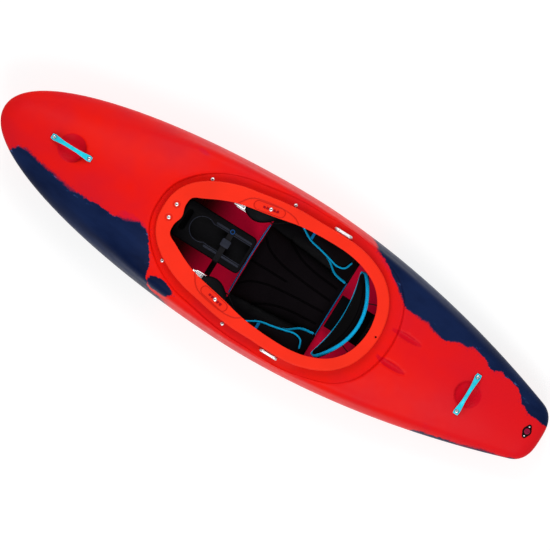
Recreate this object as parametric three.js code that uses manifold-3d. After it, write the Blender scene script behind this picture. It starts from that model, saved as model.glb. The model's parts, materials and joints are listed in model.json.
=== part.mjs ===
import * as THREE from 'three';
import { mergeVertices } from 'three/addons/utils/BufferGeometryUtils.js';
import Module from 'manifold-3d';

// A whitewater kayak in millimetres: +X to the bow, +Y to port, +Z up, resting on its flat planing bottom.
// The origin is the middle of the bottom of the whole boat.

const wasm = await Module();
wasm.setup();

// Fits shared by every piece
const fit = { gap: 0.3, slide: 0.6, overrun: 60, weld: 0.0002 };

// Faces round the small turned pieces
const screwSideCount = 10;
const holeSideCount = 8;
const rodSideCount = 8;
const plugSideCount = 20;
const cornerStepCount = 3;
const arcStepCount = 6;
const bottleStepCount = 12;
const halfTurn = 180;

// Hull: overall sizes, wall and the shares that shape it
const hull = { length: 2260, beam: 618, deckHeight: 322, wall: 6, endWall: 24, bowKick: 205, sternKick: 118,
  bowTipRound: 60, sternTipRound: 46, tipLand: 2.5 };
const stationCount = 16;
const tipStationCount = 4;
const bowFullPower = 1.84;
const bowRoundPower = 0.48;
const sternTaperShare = 0.69;
const sternTaperPower = 1.9;
const sternCornerShare = 0.94;
const sternCornerPower = 3;
const flatBottomShare = 0.31;
const bowKickPower = 2.1;
const sternKickPower = 2;
const deckShares = [[-1, 0.53], [-0.8, 0.655], [-0.6, 0.73], [-0.42, 0.785], [0, 0.88], [0.3, 0.97],
  [0.45, 1], [0.7, 0.945], [0.9, 0.855], [1, 0.8]];
const creaseWidthShares = [[-1, 0.82], [-0.75, 0.85], [-0.45, 0.88], [0, 0.906], [0.35, 0.88], [0.55, 0.82],
  [0.8, 0.745], [1, 0.7]];
const creaseHeightShares = [[-1, 0.8], [-0.7, 0.82], [-0.4, 0.9], [0, 0.96], [0.35, 0.9], [0.6, 0.82],
  [1, 0.78]];
const bottomShares = [[0, 0], [0.58, 0], [0.72, 0.015], [0.81, 0.055]];
const sideShares = [[0.9, 0.15], [0.965, 0.28], [1, 0.42], [0.995, 0.56]];
const shoulderShares = [0.62, 0.55];
const crownShares = [[0.82, 0.36], [0.55, 0.73], [0.27, 0.93]];

const halfLength = hull.length / 2;
const halfBeam = hull.beam / 2;

// How far what is carried near the ends keeps from the tips of the hull
const fromTip = { bowDish: 286, sternDish: 307, drain: 58, bowFoam: 200, rearFoam: 230 };

// Cockpit opening, its rim and the sunk groove round it
const cockpit = { centreX: -7.5, halfLength: 392.5, sideDeck: 107, spine: 200, rearDrop: 52, frontRise: 13,
  rearRim: 43, frontRim: 73 };
const opening = { rearX: cockpit.centreX - cockpit.halfLength, frontX: cockpit.centreX + cockpit.halfLength,
  halfWidth: halfBeam - cockpit.sideDeck };
const openingShares = [[0.99, 0], [1.015, 0.2], [1, 0.37], [0.911, 0.47], [0.66, 0.693], [0.274, 0.856],
  [0.02, 0.96], [-0.236, 1], [-0.49, 0.99], [-0.669, 0.91], [-0.834, 0.742], [-0.95, 0.455], [-1, 0]];
const rimSampleCount = 56;
const rim = { stand: 38, flange: 7, sideWidth: 44, thighGain: 20, overhang: 24, lipDrop: 14,
  lipWall: 5, edge: 3, stub: 3, thighStartX: -80, thighEndX: 130 };
const nose = { run: 485, startInset: 205, endInset: 85 };
const nosePower = 2.4;
const noseStepCount = 24;
const groove = { frontWidth: 24, sideWidth: 34, rearWidth: 55, frontInset: 10, rearInset: 150, easing: 130 };
const rimHole = { inset: 33, diameter: 8, depth: 4 };

// Round dishes under the grab handles and scooped grooves on the stern deck
const bowDish = { x: halfLength - fromTip.bowDish, radius: 53, depth: 15 };
const sternDish = { x: fromTip.sternDish - halfLength, radius: 50, depth: 14 };
const dishSideCount = 16;
const deckScoop = { aft: 130, y: 58, halfLength: 64, halfWidth: 11, depth: 7 };
const scoopSideCount = 12;

// Grab handles
const gripShift = { bow: 1, stern: 3 };
const bowGrip = { centreX: bowDish.x + gripShift.bow, length: 166, rise: 27, endWidth: 24, midWidth: 16,
  endThick: 8, midThick: 12, screwInset: 9.5 };
const sternGrip = { centreX: sternDish.x + gripShift.stern, length: 167, rise: 27, endWidth: 24,
  midWidth: 16, endThick: 8, midThick: 12, screwInset: 11.5 };
const gripStationCount = 14;
const gripCornerCount = 8;
const gripArchShares = [0.45, 0.95];
const gripEndShare = 0.7;
const gripEndPower = 3;
const gripSquarePower = 0.6;

// Screws
const deckScrew = { headDiameter: 15, headHeight: 3.4, shankDiameter: 5, shankLength: 16 };
const headWallShare = 0.4;
const headTopShare = 0.62;

// Rescue bars
const rescueBar = { x: -139, offset: 7.3, length: 70, rise: 24, rod: 8, footDepth: 18, bend: 9, collar: 14,
  collarHeight: 3 };
const rescueStepCount = 18;

// Thigh braces and the slots that hold them
const braceSlot = { x: 125, offset: 21, length: 117, width: 34, depth: 2.5, holePitch: 12.5,
  holeDiameter: 5.6, centreShift: 5 };
const braceHoleCount = 5;
const brace = { startX: 92, endX: 206, bulge: 37, reach: 29, thick: 6, drop: 40, roll: 14 };
const braceStationCount = 10;
const bracePower = 0.8;
const braceEndShare = 0.06;
const braceFallShare = 0.55;
const rimScrew = { ahead: 35, y: 27, dimple: 26, dimpleDepth: 2.5 };
const grooveScrew = { frontInset: 26, frontOffset: 7.2, middleX: 58, middleOffset: 8 };

// Ratchets that tighten the backband
const ratchet = { x: 225, inset: 5.9, below: 74.2, length: 46, leverX: 13, pawlX: -13, pinDiameter: 3,
  plate: 2, inside: 23.6, back: 9.5, front: 3.5, tabLength: 26, barrel: 4, pawlBarrel: 3.3, leverThick: 4,
  leverTail: 50, leverSink: 4.5, noseReach: 5, noseWide: 3, pinHead: 1 };
const barrelAngles = { end: 80, lever: -90, pawl: -180 };
const ladder = { behindPin: 5.5, thick: 2.6, height: 22, startX: 92, endX: 300, toothStartX: 128, pitch: 5,
  tooth: 1.3 };
const toothShare = 0.8;

// Backband, its straps and its cords
const backbandInset = { side: 26, bottom: 97, top: 33, endBottom: 132, endTop: 103, topDrop: 27.5,
  endRise: 32, endDrop: 34, height: 128 };
const backbandTopX = opening.rearX + backbandInset.top;
const backbandHighZ = rimTopAt(backbandTopX) - backbandInset.topDrop;
const backbandLowZ = backbandHighZ - backbandInset.height;
const backband = { halfWidth: opening.halfWidth - backbandInset.side,
  bottomX: opening.rearX + backbandInset.bottom, topX: backbandTopX, thick: 18, shell: 3.5,
  endBottomX: opening.rearX + backbandInset.endBottom, endTopX: opening.rearX + backbandInset.endTop,
  lowZ: backbandLowZ, highZ: backbandHighZ, endLowZ: backbandLowZ + backbandInset.endRise,
  endHighZ: backbandHighZ - backbandInset.endDrop };
const backbandStationCount = 14;
const backbandEndShare = 0.6;
const backbandCrownShares = [[0, 0.2], [0.02, 0.7], [0.12, 1], [0.5, 1.08], [0.88, 1], [0.98, 0.7], [1, 0.2]];
const backbandRearShares = [0.9, 0.5, 0.1];
const shellWidthShare = 0.985;
const webbingInset = { start: 28, wrap: 5, outer: 12, bend: 6, join: 2, rise: 2 };
const webbing = { thick: 1.8, height: 25, outerY: opening.halfWidth + webbingInset.outer,
  startY: backband.halfWidth - webbingInset.start, turnY: backband.halfWidth + webbingInset.wrap,
  bendX: backband.endBottomX + webbingInset.bend,
  lowZ: (backband.endLowZ + backband.endHighZ) / 2 + webbingInset.rise,
  joinX: ladder.startX + webbingInset.join, tail: 22 };
const backCord = { diameter: 4, startY: 84, eyeAft: 13, eyeY: 102, endAft: 80, below: 38, lead: 5 };
const cordStepCount = 12;
const cordEye = { thick: 4, width: 16, hole: 8, plateLength: 16, plateThick: 2.5, below: 6 };

// Step-out pillar and what is cut into it
const pillarAhead = 7;
const pillar = { rearX: 106, frontX: opening.frontX + pillarAhead, halfWidth: 74, top: 185, corner: 16,
  wall: 5 };
const bottleInset = { end: 94, mouth: 12 };
const bottle = { endX: pillar.frontX - bottleInset.end, radius: 45, neckHalf: 38,
  mouthX: pillar.rearX + bottleInset.mouth, depth: 44 };
const bottleArc = 125;
const gripSlot = { inset: 26, halfWidth: 42, width: 22, depth: 60 };

// Seat
const seatInset = { rear: 53, front: 11, wingRear: 28, wingFront: 107, side: 4, railRear: 20, railFront: 33,
  rail: 8 };
const panFlatShare = 0.5;
const seatRearX = backband.bottomX + seatInset.rear;
const seatFrontX = pillar.rearX - seatInset.front;
const seatHalfWidth = opening.halfWidth + seatInset.side;
const seat = { rearX: seatRearX, frontX: seatFrontX, wingRearX: seatRearX + seatInset.wingRear,
  wingFrontX: seatFrontX - seatInset.wingFront, wingTop: 150, halfWidth: seatHalfWidth,
  wall: 4, railWidth: 22, railHeight: 12, railY: seatHalfWidth * panFlatShare - seatInset.rail,
  railRearX: seatRearX + seatInset.railRear, railFrontX: seatFrontX - seatInset.railFront,
  lipHeight: 44, cornerRise: 8, wingSlope: 24 };
const wingSectionShares = [[1, 1], [0.995, 0.62], [0.955, 0.34], [0.83, 0.12], [0.66, 0.012],
  [panFlatShare, 0]];
const padInset = { rear: 2, front: 8, rearSide: 94, frontSide: 60 };
const seatPad = { rearX: seat.rearX + padInset.rear, frontX: seat.frontX + padInset.front,
  rearHalf: seat.halfWidth - padInset.rearSide, frontHalf: seat.halfWidth - padInset.frontSide,
  edge: 12, crown: 27, ribDepth: 3, bow: 4 };
const padLengthCount = 16;
const padWidthCount = 28;
const padBaseStride = 4;
const ribCount = 7;
const padSideShare = 0.12;
const padEndShare = 0.07;
const padBaseShare = 0.97;
const padTaperPower = 0.8;
const ribPower = 0.5;
const wingSlot = { length: 30, height: 7, z: 128, shift: 2, pitch: 90 };
const hipPad = { low: 92, height: 100 };
const hipPadShares = [[-0.029, 0.956], [0.181, 0.835], [0.419, 0.777], [0.657, 0.718], [0.824, 0.684],
  [0.952, 0.728], [1.01, 0.864], [1, 1.019], [0.467, 1.029], [-0.029, 1.019]];
const bolster = { low: 50, height: 40 };
const bolsterShares = [[0.505, 0.757], [0.657, 0.689], [0.848, 0.553], [1.076, 0.51], [1.114, 0.573],
  [1.114, 0.874], [1, 0.995], [0.752, 1], [0.505, 0.951]];
const pillowRingShares = [[0.8, 0], [0.94, 0.12], [1, 0.4], [1, 0.65], [0.95, 0.9], [0.82, 1]];
const pillowPointCount = 22;

// Foam pillars, and the strap over the step-out pillar
const bowFoam = { rearX: pillar.frontX + fit.gap, frontX: halfLength - fromTip.bowFoam, halfWidth: 44 };
const rearFoamInset = { step: 6, wall: 12, stepDrop: 54, wallDrop: 28 };
const rearFoam = { stepX: seat.rearX - rearFoamInset.step, wallX: opening.rearX + rearFoamInset.wall,
  endX: fromTip.rearFoam - halfLength, halfWidth: 66, stepHeight: backband.lowZ - rearFoamInset.stepDrop,
  wallHeight: backband.lowZ - rearFoamInset.wallDrop };
const strapInset = { ahead: 94, start: 20, end: 58, bend: 3 };
const strap = { x: pillar.rearX + strapInset.ahead, width: 21, thick: 2,
  startY: strapInset.start - pillar.halfWidth, endY: pillar.halfWidth + strapInset.end };
const buckle = { length: 34, width: 29, height: 6, corner: 4 };
const ring = { inset: 5, radius: 7.5, wire: 1.5 };
const ringSideCount = 6;
const ringStepCount = 14;

// Footrests
const footShares = { railRear: 0.312, railFront: 0.907, plate: 0.5727 };
const footRoom = { side: 12, width: 94, keel: 70, deck: 75, rail: 60, padEdge: 2, padBevel: 4 };
const footX = THREE.MathUtils.lerp(bowFoam.rearX, bowFoam.frontX, footShares.plate);
const footInnerY = bowFoam.halfWidth + footRoom.side;
const footLowZ = keelAt(footX) + footRoom.keel;
const foot = { railRearX: THREE.MathUtils.lerp(bowFoam.rearX, bowFoam.frontX, footShares.railRear),
  railFrontX: THREE.MathUtils.lerp(bowFoam.rearX, bowFoam.frontX, footShares.railFront), railWidth: 8,
  railHeight: 26, railZ: footLowZ + footRoom.rail, plateX: footX, plateThick: 5, padThick: 14,
  innerY: footInnerY, outerY: footInnerY + footRoom.width, lowZ: footLowZ,
  highZ: deckAt(footX) - footRoom.deck, corner: 16, shoe: 44, clasp: 4 };
const padEdgeShare = 0.7;

// Drain
const drain = { x: fromTip.drain - halfLength, halfLength: 27, halfWidth: 17, tipRound: 8, flange: 4,
  neck: 20, neckDepth: 12, bore: 15, plugHead: 22, plugRise: 3, plugDepth: 9, slot: 3, slotDepth: 2, screwY: 18.5,
  screwHead: 6, screwShank: 3, seatDepth: 2.6, headRise: 1.2 };
const diamondAngles = { tip: 25, waist: 20 };

// Geometry helpers
function facingOut(geometry) {
  const p = geometry.attributes.position;
  const index = geometry.index.array;
  const a = new THREE.Vector3();
  const b = new THREE.Vector3();
  const c = new THREE.Vector3();
  let volume = 0;
  for (let i = 0; i < index.length; i += 3) {
    a.fromBufferAttribute(p, index[i]);
    b.fromBufferAttribute(p, index[i + 1]);
    c.fromBufferAttribute(p, index[i + 2]);
    volume += a.dot(b.cross(c));
  }
  if (volume < 0) {
    for (let i = 0; i < index.length; i += 3) {
      [index[i + 1], index[i + 2]] = [index[i + 2], index[i + 1]];
    }
  }
  return geometry;
}

function solidOf(geometry) {
  const bare = new THREE.BufferGeometry();
  bare.setAttribute('position', geometry.attributes.position);
  if (geometry.index) bare.setIndex(geometry.index);
  const merged = facingOut(mergeVertices(bare, fit.weld));
  return new wasm.Manifold(new wasm.Mesh({
    numProp: 3,
    vertProperties: new Float32Array(merged.attributes.position.array),
    triVerts: new Uint32Array(merged.index.array),
  }));
}

function geometryOf(solid) {
  const mesh = solid.getMesh();
  const geometry = new THREE.BufferGeometry();
  geometry.setAttribute('position', new THREE.BufferAttribute(new Float32Array(mesh.vertProperties), 3));
  geometry.setIndex(new THREE.BufferAttribute(new Uint32Array(mesh.triVerts), 1));
  return geometry;
}

// Triangles that close one end of a skin: a fan round the middle, or cut across where the end bends round
function capFaces(section, base, along, bent, positions) {
  const wind = (i, j, k) => (along ? [i, j, k] : [i, k, j]);
  if (!bent) {
    const hub = positions.length / 3;
    const middle = section.reduce((sum, p) => sum.add(p), new THREE.Vector3()).divideScalar(section.length);
    positions.push(middle.x, middle.y, middle.z);
    return section.flatMap((p, k) => wind(hub, base + k, base + (k + 1) % section.length));
  }
  const outline = section.map((p) => new THREE.Vector2(p.y, p.z));
  const turned = THREE.ShapeUtils.isClockWise(outline);
  const last = section.length - 1;
  const faces = THREE.ShapeUtils.triangulateShape(turned ? [...outline].reverse() : outline, []);
  return faces.flatMap((face) => {
    const [i, j, k] = face.map((corner) => base + (turned ? last - corner : corner));
    return turned === along ? [i, k, j] : [i, j, k];
  });
}

// A skin through closed sections, capped at both ends or joined round into a loop
function loft(sections, { looped = false, bent = false } = {}) {
  const around = sections[0].length;
  const positions = sections.flat().flatMap((p) => [p.x, p.y, p.z]);
  const index = [];
  const spans = looped ? sections.length : sections.length - 1;
  for (let s = 0; s < spans; s += 1) {
    for (let k = 0; k < around; k += 1) {
      const a = s * around + k;
      const b = s * around + (k + 1) % around;
      const c = ((s + 1) % sections.length) * around + k;
      const d = ((s + 1) % sections.length) * around + (k + 1) % around;
      index.push(a, b, d, a, d, c);
    }
  }
  if (!looped) {
    const last = sections.length - 1;
    index.push(...capFaces(sections[0], 0, false, bent, positions));
    index.push(...capFaces(sections[last], last * around, true, bent, positions));
  }
  const geometry = new THREE.BufferGeometry();
  geometry.setAttribute('position', new THREE.BufferAttribute(new Float32Array(positions), 3));
  geometry.setIndex(new THREE.BufferAttribute(new Uint32Array(index), 1));
  return solidOf(geometry);
}

function moved(geometry, x, y, z) {
  geometry.translate(x, y, z);
  return geometry;
}

function box(x0, x1, y0, y1, z0, z1) {
  const geometry = new THREE.BoxGeometry(x1 - x0, y1 - y0, z1 - z0);
  return solidOf(moved(geometry, (x0 + x1) / 2, (y0 + y1) / 2, (z0 + z1) / 2));
}

function post(diameter, x, y, z0, z1, sides) {
  const geometry = new THREE.CylinderGeometry(diameter / 2, diameter / 2, z1 - z0, sides);
  geometry.rotateX(Math.PI / 2);
  return solidOf(moved(geometry, x, y, (z0 + z1) / 2));
}

function prism(points, z0, z1) {
  const shape = new THREE.Shape(points.map(([x, y]) => new THREE.Vector2(x, y)));
  const geometry = new THREE.ExtrudeGeometry(shape, { depth: z1 - z0, bevelEnabled: false });
  return moved(geometry, 0, 0, z0);
}

// A prism whose outline stands in the X and Z plane and runs across the boat
function sidePrism(points, y0, y1) {
  const geometry = prism(points.map(([x, z]) => [x, -z]), y0, y1);
  geometry.rotateX(-Math.PI / 2);
  return solidOf(geometry);
}

// A prism whose outline stands in the Y and Z plane and runs along the boat
function longPrism(points, x0, x1) {
  const geometry = prism(points.map(([y, z]) => [y, z]), x0, x1);
  geometry.rotateX(Math.PI / 2);
  geometry.rotateZ(Math.PI / 2);
  return solidOf(geometry);
}

function mirrored(solid, side) {
  if (side > 0) return solid;
  const geometry = geometryOf(solid);
  geometry.scale(1, -1, 1);
  return solidOf(geometry);
}

function roundedRectangle(halfX, halfY, corner, steps) {
  const points = [];
  [[1, 1], [-1, 1], [-1, -1], [1, -1]].forEach(([sx, sy], quarter) => {
    for (let k = 0; k <= steps; k += 1) {
      const angle = (quarter + k / steps) * Math.PI / 2;
      points.push([sx * (halfX - corner) + corner * Math.cos(angle),
        sy * (halfY - corner) + corner * Math.sin(angle)]);
    }
  });
  return points;
}

// A band of even thickness along an open line of [across, up] points
function bandOutline(line, thick) {
  const normals = line.map((p, i) => {
    const before = line[Math.max(i - 1, 0)];
    const after = line[Math.min(i + 1, line.length - 1)];
    const run = new THREE.Vector2(after[0] - before[0], after[1] - before[1]).normalize();
    return [-run.y, run.x];
  });
  const edge = (sign) => line.map((p, i) => [p[0] + sign * normals[i][0] * thick / 2,
    p[1] + sign * normals[i][1] * thick / 2]);
  return [...edge(1), ...edge(-1).reverse()];
}

function smooth(from, to, value) {
  return THREE.MathUtils.smoothstep(value, from, to);
}

// A smooth curve through a short table of shares
function through(shares, at) {
  const last = shares.length - 1;
  const place = Math.min(Math.max(at, shares[0][0]), shares[last][0]);
  let k = 0;
  while (k < last - 1 && place > shares[k + 1][0]) k += 1;
  const [x0, y0] = shares[k];
  const [x1, y1] = shares[k + 1];
  const slope = (i) => {
    const a = shares[Math.max(i - 1, 0)];
    const b = shares[Math.min(i + 1, last)];
    return (b[1] - a[1]) / (b[0] - a[0]);
  };
  const t = (place - x0) / (x1 - x0);
  const run = x1 - x0;
  return (2 * t ** 3 - 3 * t ** 2 + 1) * y0 + (t ** 3 - 2 * t ** 2 + t) * run * slope(k)
    + (3 * t ** 2 - 2 * t ** 3) * y1 + (t ** 3 - t ** 2) * run * slope(k + 1);
}

// Hull form
function halfBeamAt(x) {
  const along = Math.min(Math.abs(x) / halfLength, 1);
  if (x >= 0) return halfBeam * (1 - along ** bowFullPower) ** bowRoundPower;
  const corner = Math.max(along - sternCornerShare, 0) / (1 - sternCornerShare);
  const square = (1 - corner ** sternCornerPower) ** (1 / sternCornerPower);
  return halfBeam * (1 - sternTaperShare * along ** sternTaperPower) * square;
}

function keelAt(x) {
  const along = Math.abs(x) / halfLength;
  const past = Math.max(along - flatBottomShare, 0) / (1 - flatBottomShare);
  return x > 0 ? hull.bowKick * past ** bowKickPower : hull.sternKick * past ** sternKickPower;
}

function deckAt(x) {
  return hull.deckHeight * through(deckShares, x / halfLength);
}

// Half of one cross section, from the keel to the crown of the deck, as [across, up]
function halfSection(x, inset) {
  const along = THREE.MathUtils.clamp(x / halfLength, -1, 1);
  const round = x > 0 ? hull.bowTipRound : hull.sternTipRound;
  const past = THREE.MathUtils.clamp((Math.abs(x) - halfLength + round) / round, 0, 1);
  const closing = Math.sqrt(1 - past ** 2);
  const middle = (keelAt(x) + deckAt(x)) / 2;
  const halfDepth = Math.max((deckAt(x) - keelAt(x)) / 2 * closing - inset, hull.tipLand);
  const half = Math.max(halfBeamAt(x) - inset, hull.tipLand);
  const creaseWidth = through(creaseWidthShares, along);
  const creaseHeight = through(creaseHeightShares, along);
  const lastSide = sideShares[sideShares.length - 1];
  const shoulder = [THREE.MathUtils.lerp(creaseWidth, lastSide[0], shoulderShares[0]),
    THREE.MathUtils.lerp(lastSide[1], creaseHeight, shoulderShares[1])];
  const shares = [...bottomShares, ...sideShares, shoulder, [creaseWidth, creaseHeight],
    ...crownShares.map(([w, h]) => [w * creaseWidth, creaseHeight + (1 - creaseHeight) * h]), [0, 1]];
  return shares.map(([w, h]) => [w * half, middle + (2 * h - 1) * halfDepth]);
}

function stationsFor(inset) {
  const reach = inset > 0 ? halfLength - hull.endWall : halfLength - inset;
  const places = [];
  for (let k = -stationCount; k <= stationCount; k += 1) places.push(halfLength * k / stationCount);
  for (let k = 0; k < tipStationCount; k += 1) {
    const angle = Math.PI / 2 * k / tipStationCount;
    places.push(halfLength - hull.bowTipRound * (1 - Math.sin(angle)));
    places.push(hull.sternTipRound * (1 - Math.sin(angle)) - halfLength);
  }
  const inner = places.filter((x) => Math.abs(x) < Math.min(reach, halfLength) - hull.tipLand);
  inner.push(-reach, reach);
  inner.sort((a, b) => a - b);
  return inner.filter((x, i) => i === 0 || x - inner[i - 1] > hull.tipLand);
}

function hullLoft(inset) {
  return loft(stationsFor(inset).map((x) => {
    const half = halfSection(x, inset);
    const port = half.map(([y, z]) => new THREE.Vector3(x, y, z));
    const starboard = half.slice(1, -1).reverse().map(([y, z]) => new THREE.Vector3(x, -y, z));
    return [...port, ...starboard];
  }));
}

// Height of the deck at a place away from the cockpit
function deckTop(x, y) {
  const upper = halfSection(x, 0).slice(bottomShares.length + sideShares.length);
  const across = Math.abs(y);
  for (let k = 1; k < upper.length; k += 1) {
    const [y0, z0] = upper[k - 1];
    const [y1, z1] = upper[k];
    if (across <= y0 && across >= y1) return z0 + (z1 - z0) * (across - y0) / (y1 - y0);
  }
  return upper[0][1];
}

// Cockpit outline: every ring round it is the opening moved out from the spine by a width
const openingCurve = (() => {
  const port = openingShares.map(([u, v]) => new THREE.Vector3(cockpit.centreX + u * cockpit.halfLength,
    v * opening.halfWidth, 0));
  const starboard = port.slice(1, -1).reverse().map((p) => new THREE.Vector3(p.x, -p.y, 0));
  return new THREE.CatmullRomCurve3([...port, ...starboard], true, 'centripetal');
})();
const openingPoints = openingCurve.getSpacedPoints(rimSampleCount).slice(0, rimSampleCount);

// The way outwards from the opening's spine at a point
function outwards(point) {
  const spineX = THREE.MathUtils.clamp(point.x, -cockpit.spine, cockpit.spine);
  return new THREE.Vector2(point.x - spineX, point.y).normalize();
}

// How far out from the opening the rim's rounded front runs, found by halving
function noseWidthAt(point) {
  const away = outwards(point);
  const middleX = opening.frontX - nose.run;
  let near = 0;
  let far = hull.beam;
  for (let k = 0; k < noseStepCount; k += 1) {
    const middle = (near + far) / 2;
    const along = (point.x + away.x * middle - middleX) / (nose.run + cockpit.frontRim);
    const across = (point.y + away.y * middle) / (opening.halfWidth + rim.sideWidth);
    if (Math.abs(along) ** nosePower + Math.abs(across) ** nosePower < 1) near = middle;
    else far = middle;
  }
  return near;
}

// The rim is as wide as the thighs need along its sides, and rounds off by a curve of its own at the front
function rimWidthAt(point) {
  const side = rim.sideWidth + rim.thighGain * smooth(rim.thighStartX, rim.thighEndX, point.x);
  const share = smooth(opening.frontX - nose.startInset, opening.frontX - nose.endInset, point.x);
  return THREE.MathUtils.lerp(side, noseWidthAt(point), share);
}

function grooveWidthAt({ x }) {
  const frontX = opening.frontX - groove.frontInset;
  const rearX = opening.rearX + groove.rearInset;
  return groove.sideWidth
    + (groove.frontWidth - groove.sideWidth) * smooth(frontX - groove.easing, frontX, x)
    + (groove.rearWidth - groove.sideWidth) * smooth(-rearX, groove.easing - rearX, -x);
}

function ringPoint(point, offset) {
  const away = outwards(point);
  return [point.x + away.x * offset, point.y + away.y * offset];
}

function ringOutline(offsetAt) {
  return openingPoints.map((p) => ringPoint(p, offsetAt(p)));
}

function rimTopAt(x) {
  const rearX = opening.rearX - cockpit.rearRim;
  const frontX = opening.frontX + cockpit.frontRim;
  const rise = cockpit.rearDrop + cockpit.frontRise;
  return hull.deckHeight - cockpit.rearDrop + rise * (x - rearX) / (frontX - rearX);
}

function floorAt(x) {
  return rimTopAt(x) - rim.stand;
}

// A prism whose ends follow the slope of the rim
function slopedPrism(outline, low, high) {
  const geometry = prism(outline, low, high);
  const p = geometry.attributes.position;
  for (let i = 0; i < p.count; i += 1) p.setZ(i, p.getZ(i) + rimTopAt(p.getX(i)));
  return solidOf(geometry);
}

// How far out an outline stands at a place along the boat
function halfWidthAlong(outline, x) {
  const port = outline.filter((p) => p[1] >= 0);
  for (let k = 1; k < port.length; k += 1) {
    const [x0, y0] = port[k - 1];
    const [x1, y1] = port[k];
    if (x <= x0 && x >= x1) return y0 + (y1 - y0) * (x - x0) / (x1 - x0);
  }
  return 0;
}

function openingHalfWidthAt(x) {
  return halfWidthAlong(openingPoints.map((p) => [p.x, p.y]), x);
}

function besideRim(x, offset) {
  return halfWidthAlong(ringOutline((p) => rimWidthAt(p) + offset), x);
}

const rescueBarY = besideRim(rescueBar.x, rescueBar.offset);
const rimScrewX = opening.frontX + rimScrew.ahead;
const grooveScrewPlaces = [[opening.frontX - grooveScrew.frontInset, grooveScrew.frontOffset],
  [grooveScrew.middleX, grooveScrew.middleOffset]].map(([x, offset]) => ({ x, y: besideRim(x, offset) }));

function rimRing() {
  const sections = openingPoints.map((p) => {
    const width = rimWidthAt(p);
    const collar = width - rim.overhang;
    const profile = [[0, -rim.edge], [rim.edge, 0], [width - 2 * rim.edge, 0],
      [width - rim.edge / 2, -rim.edge / 2], [width, -2 * rim.edge], [width, -rim.lipDrop],
      [width - rim.lipWall, -rim.lipDrop],
      [width - rim.lipWall, -rim.flange - rim.edge / 2], [collar, -rim.flange],
      [collar, -rim.stand - hull.wall / 2], [collar - hull.wall, -rim.stand - hull.wall - rim.stub],
      [collar - hull.wall, -rim.flange], [rim.edge, -rim.flange], [0, rim.edge - rim.flange]];
    return profile.map(([offset, height]) => {
      const [x, y] = ringPoint(p, offset);
      return new THREE.Vector3(x, y, rimTopAt(x) + height);
    });
  });
  return loft(sections, { looped: true });
}

function bowl(dish, extra) {
  const geometry = new THREE.SphereGeometry(1, dishSideCount, dishSideCount / 2);
  geometry.scale(dish.radius + extra, dish.radius + extra, dish.depth + extra);
  return solidOf(moved(geometry, dish.x, 0, deckAt(dish.x)));
}

function scoop(side, extra) {
  const geometry = new THREE.SphereGeometry(1, scoopSideCount, scoopSideCount / 2);
  geometry.scale(deckScoop.halfLength + extra, deckScoop.halfWidth + extra, deckScoop.depth + extra);
  const x = opening.rearX - deckScoop.aft;
  return solidOf(moved(geometry, x, side * deckScoop.y, deckTop(x, deckScoop.y)));
}

// The line of holes that sets a thigh brace, in the slot's own frame
function slotFrame(side) {
  const y = openingHalfWidthAt(braceSlot.x) + braceSlot.offset;
  const span = braceSlot.length / 2;
  const lean = Math.atan2(openingHalfWidthAt(braceSlot.x + span) - openingHalfWidthAt(braceSlot.x - span),
    braceSlot.length);
  const run = [Math.cos(lean), Math.sin(lean)];
  return (along, across) => [braceSlot.x + along * run[0] - across * run[1],
    side * (y + along * run[1] + across * run[0])];
}

function braceSlotCut(side) {
  const place = slotFrame(side);
  const corner = braceSlot.width / 2 - rim.edge;
  const outline = roundedRectangle(braceSlot.length / 2, braceSlot.width / 2, corner, cornerStepCount)
    .map(([a, b]) => place(a + braceSlot.centreShift, b));
  let cut = slopedPrism(outline, -braceSlot.depth, fit.overrun);
  for (let k = 0; k < braceHoleCount; k += 1) {
    const [x, y] = place((k - (braceHoleCount - 1) / 2) * braceSlot.holePitch, 0);
    const top = rimTopAt(x);
    cut = cut.add(post(braceSlot.holeDiameter, x, y, top - 2 * rim.flange, top + rim.edge, holeSideCount));
  }
  return cut;
}

function screwHole(x, y, top) {
  return post(deckScrew.shankDiameter + 2 * fit.gap, x, y, top - fit.overrun / 2, top + fit.overrun / 2,
    holeSideCount);
}

const handleScrewPlaces = [
  ...[-1, 1].map((end) => [bowGrip.centreX + end * (bowGrip.length / 2 - bowGrip.screwInset), 0]),
  ...[-1, 1].map((end) => [sternGrip.centreX, end * (sternGrip.length / 2 - sternGrip.screwInset)]),
];

// The drain sits square to the deck at its place
const drainTilt = Math.atan2(deckAt(drain.x + drain.halfWidth) - deckAt(drain.x - drain.halfWidth),
  2 * drain.halfWidth);

function atDrain(solid) {
  const geometry = geometryOf(solid);
  geometry.rotateY(-drainTilt);
  return solidOf(moved(geometry, drain.x, 0, deckAt(drain.x) - drain.seatDepth));
}

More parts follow.
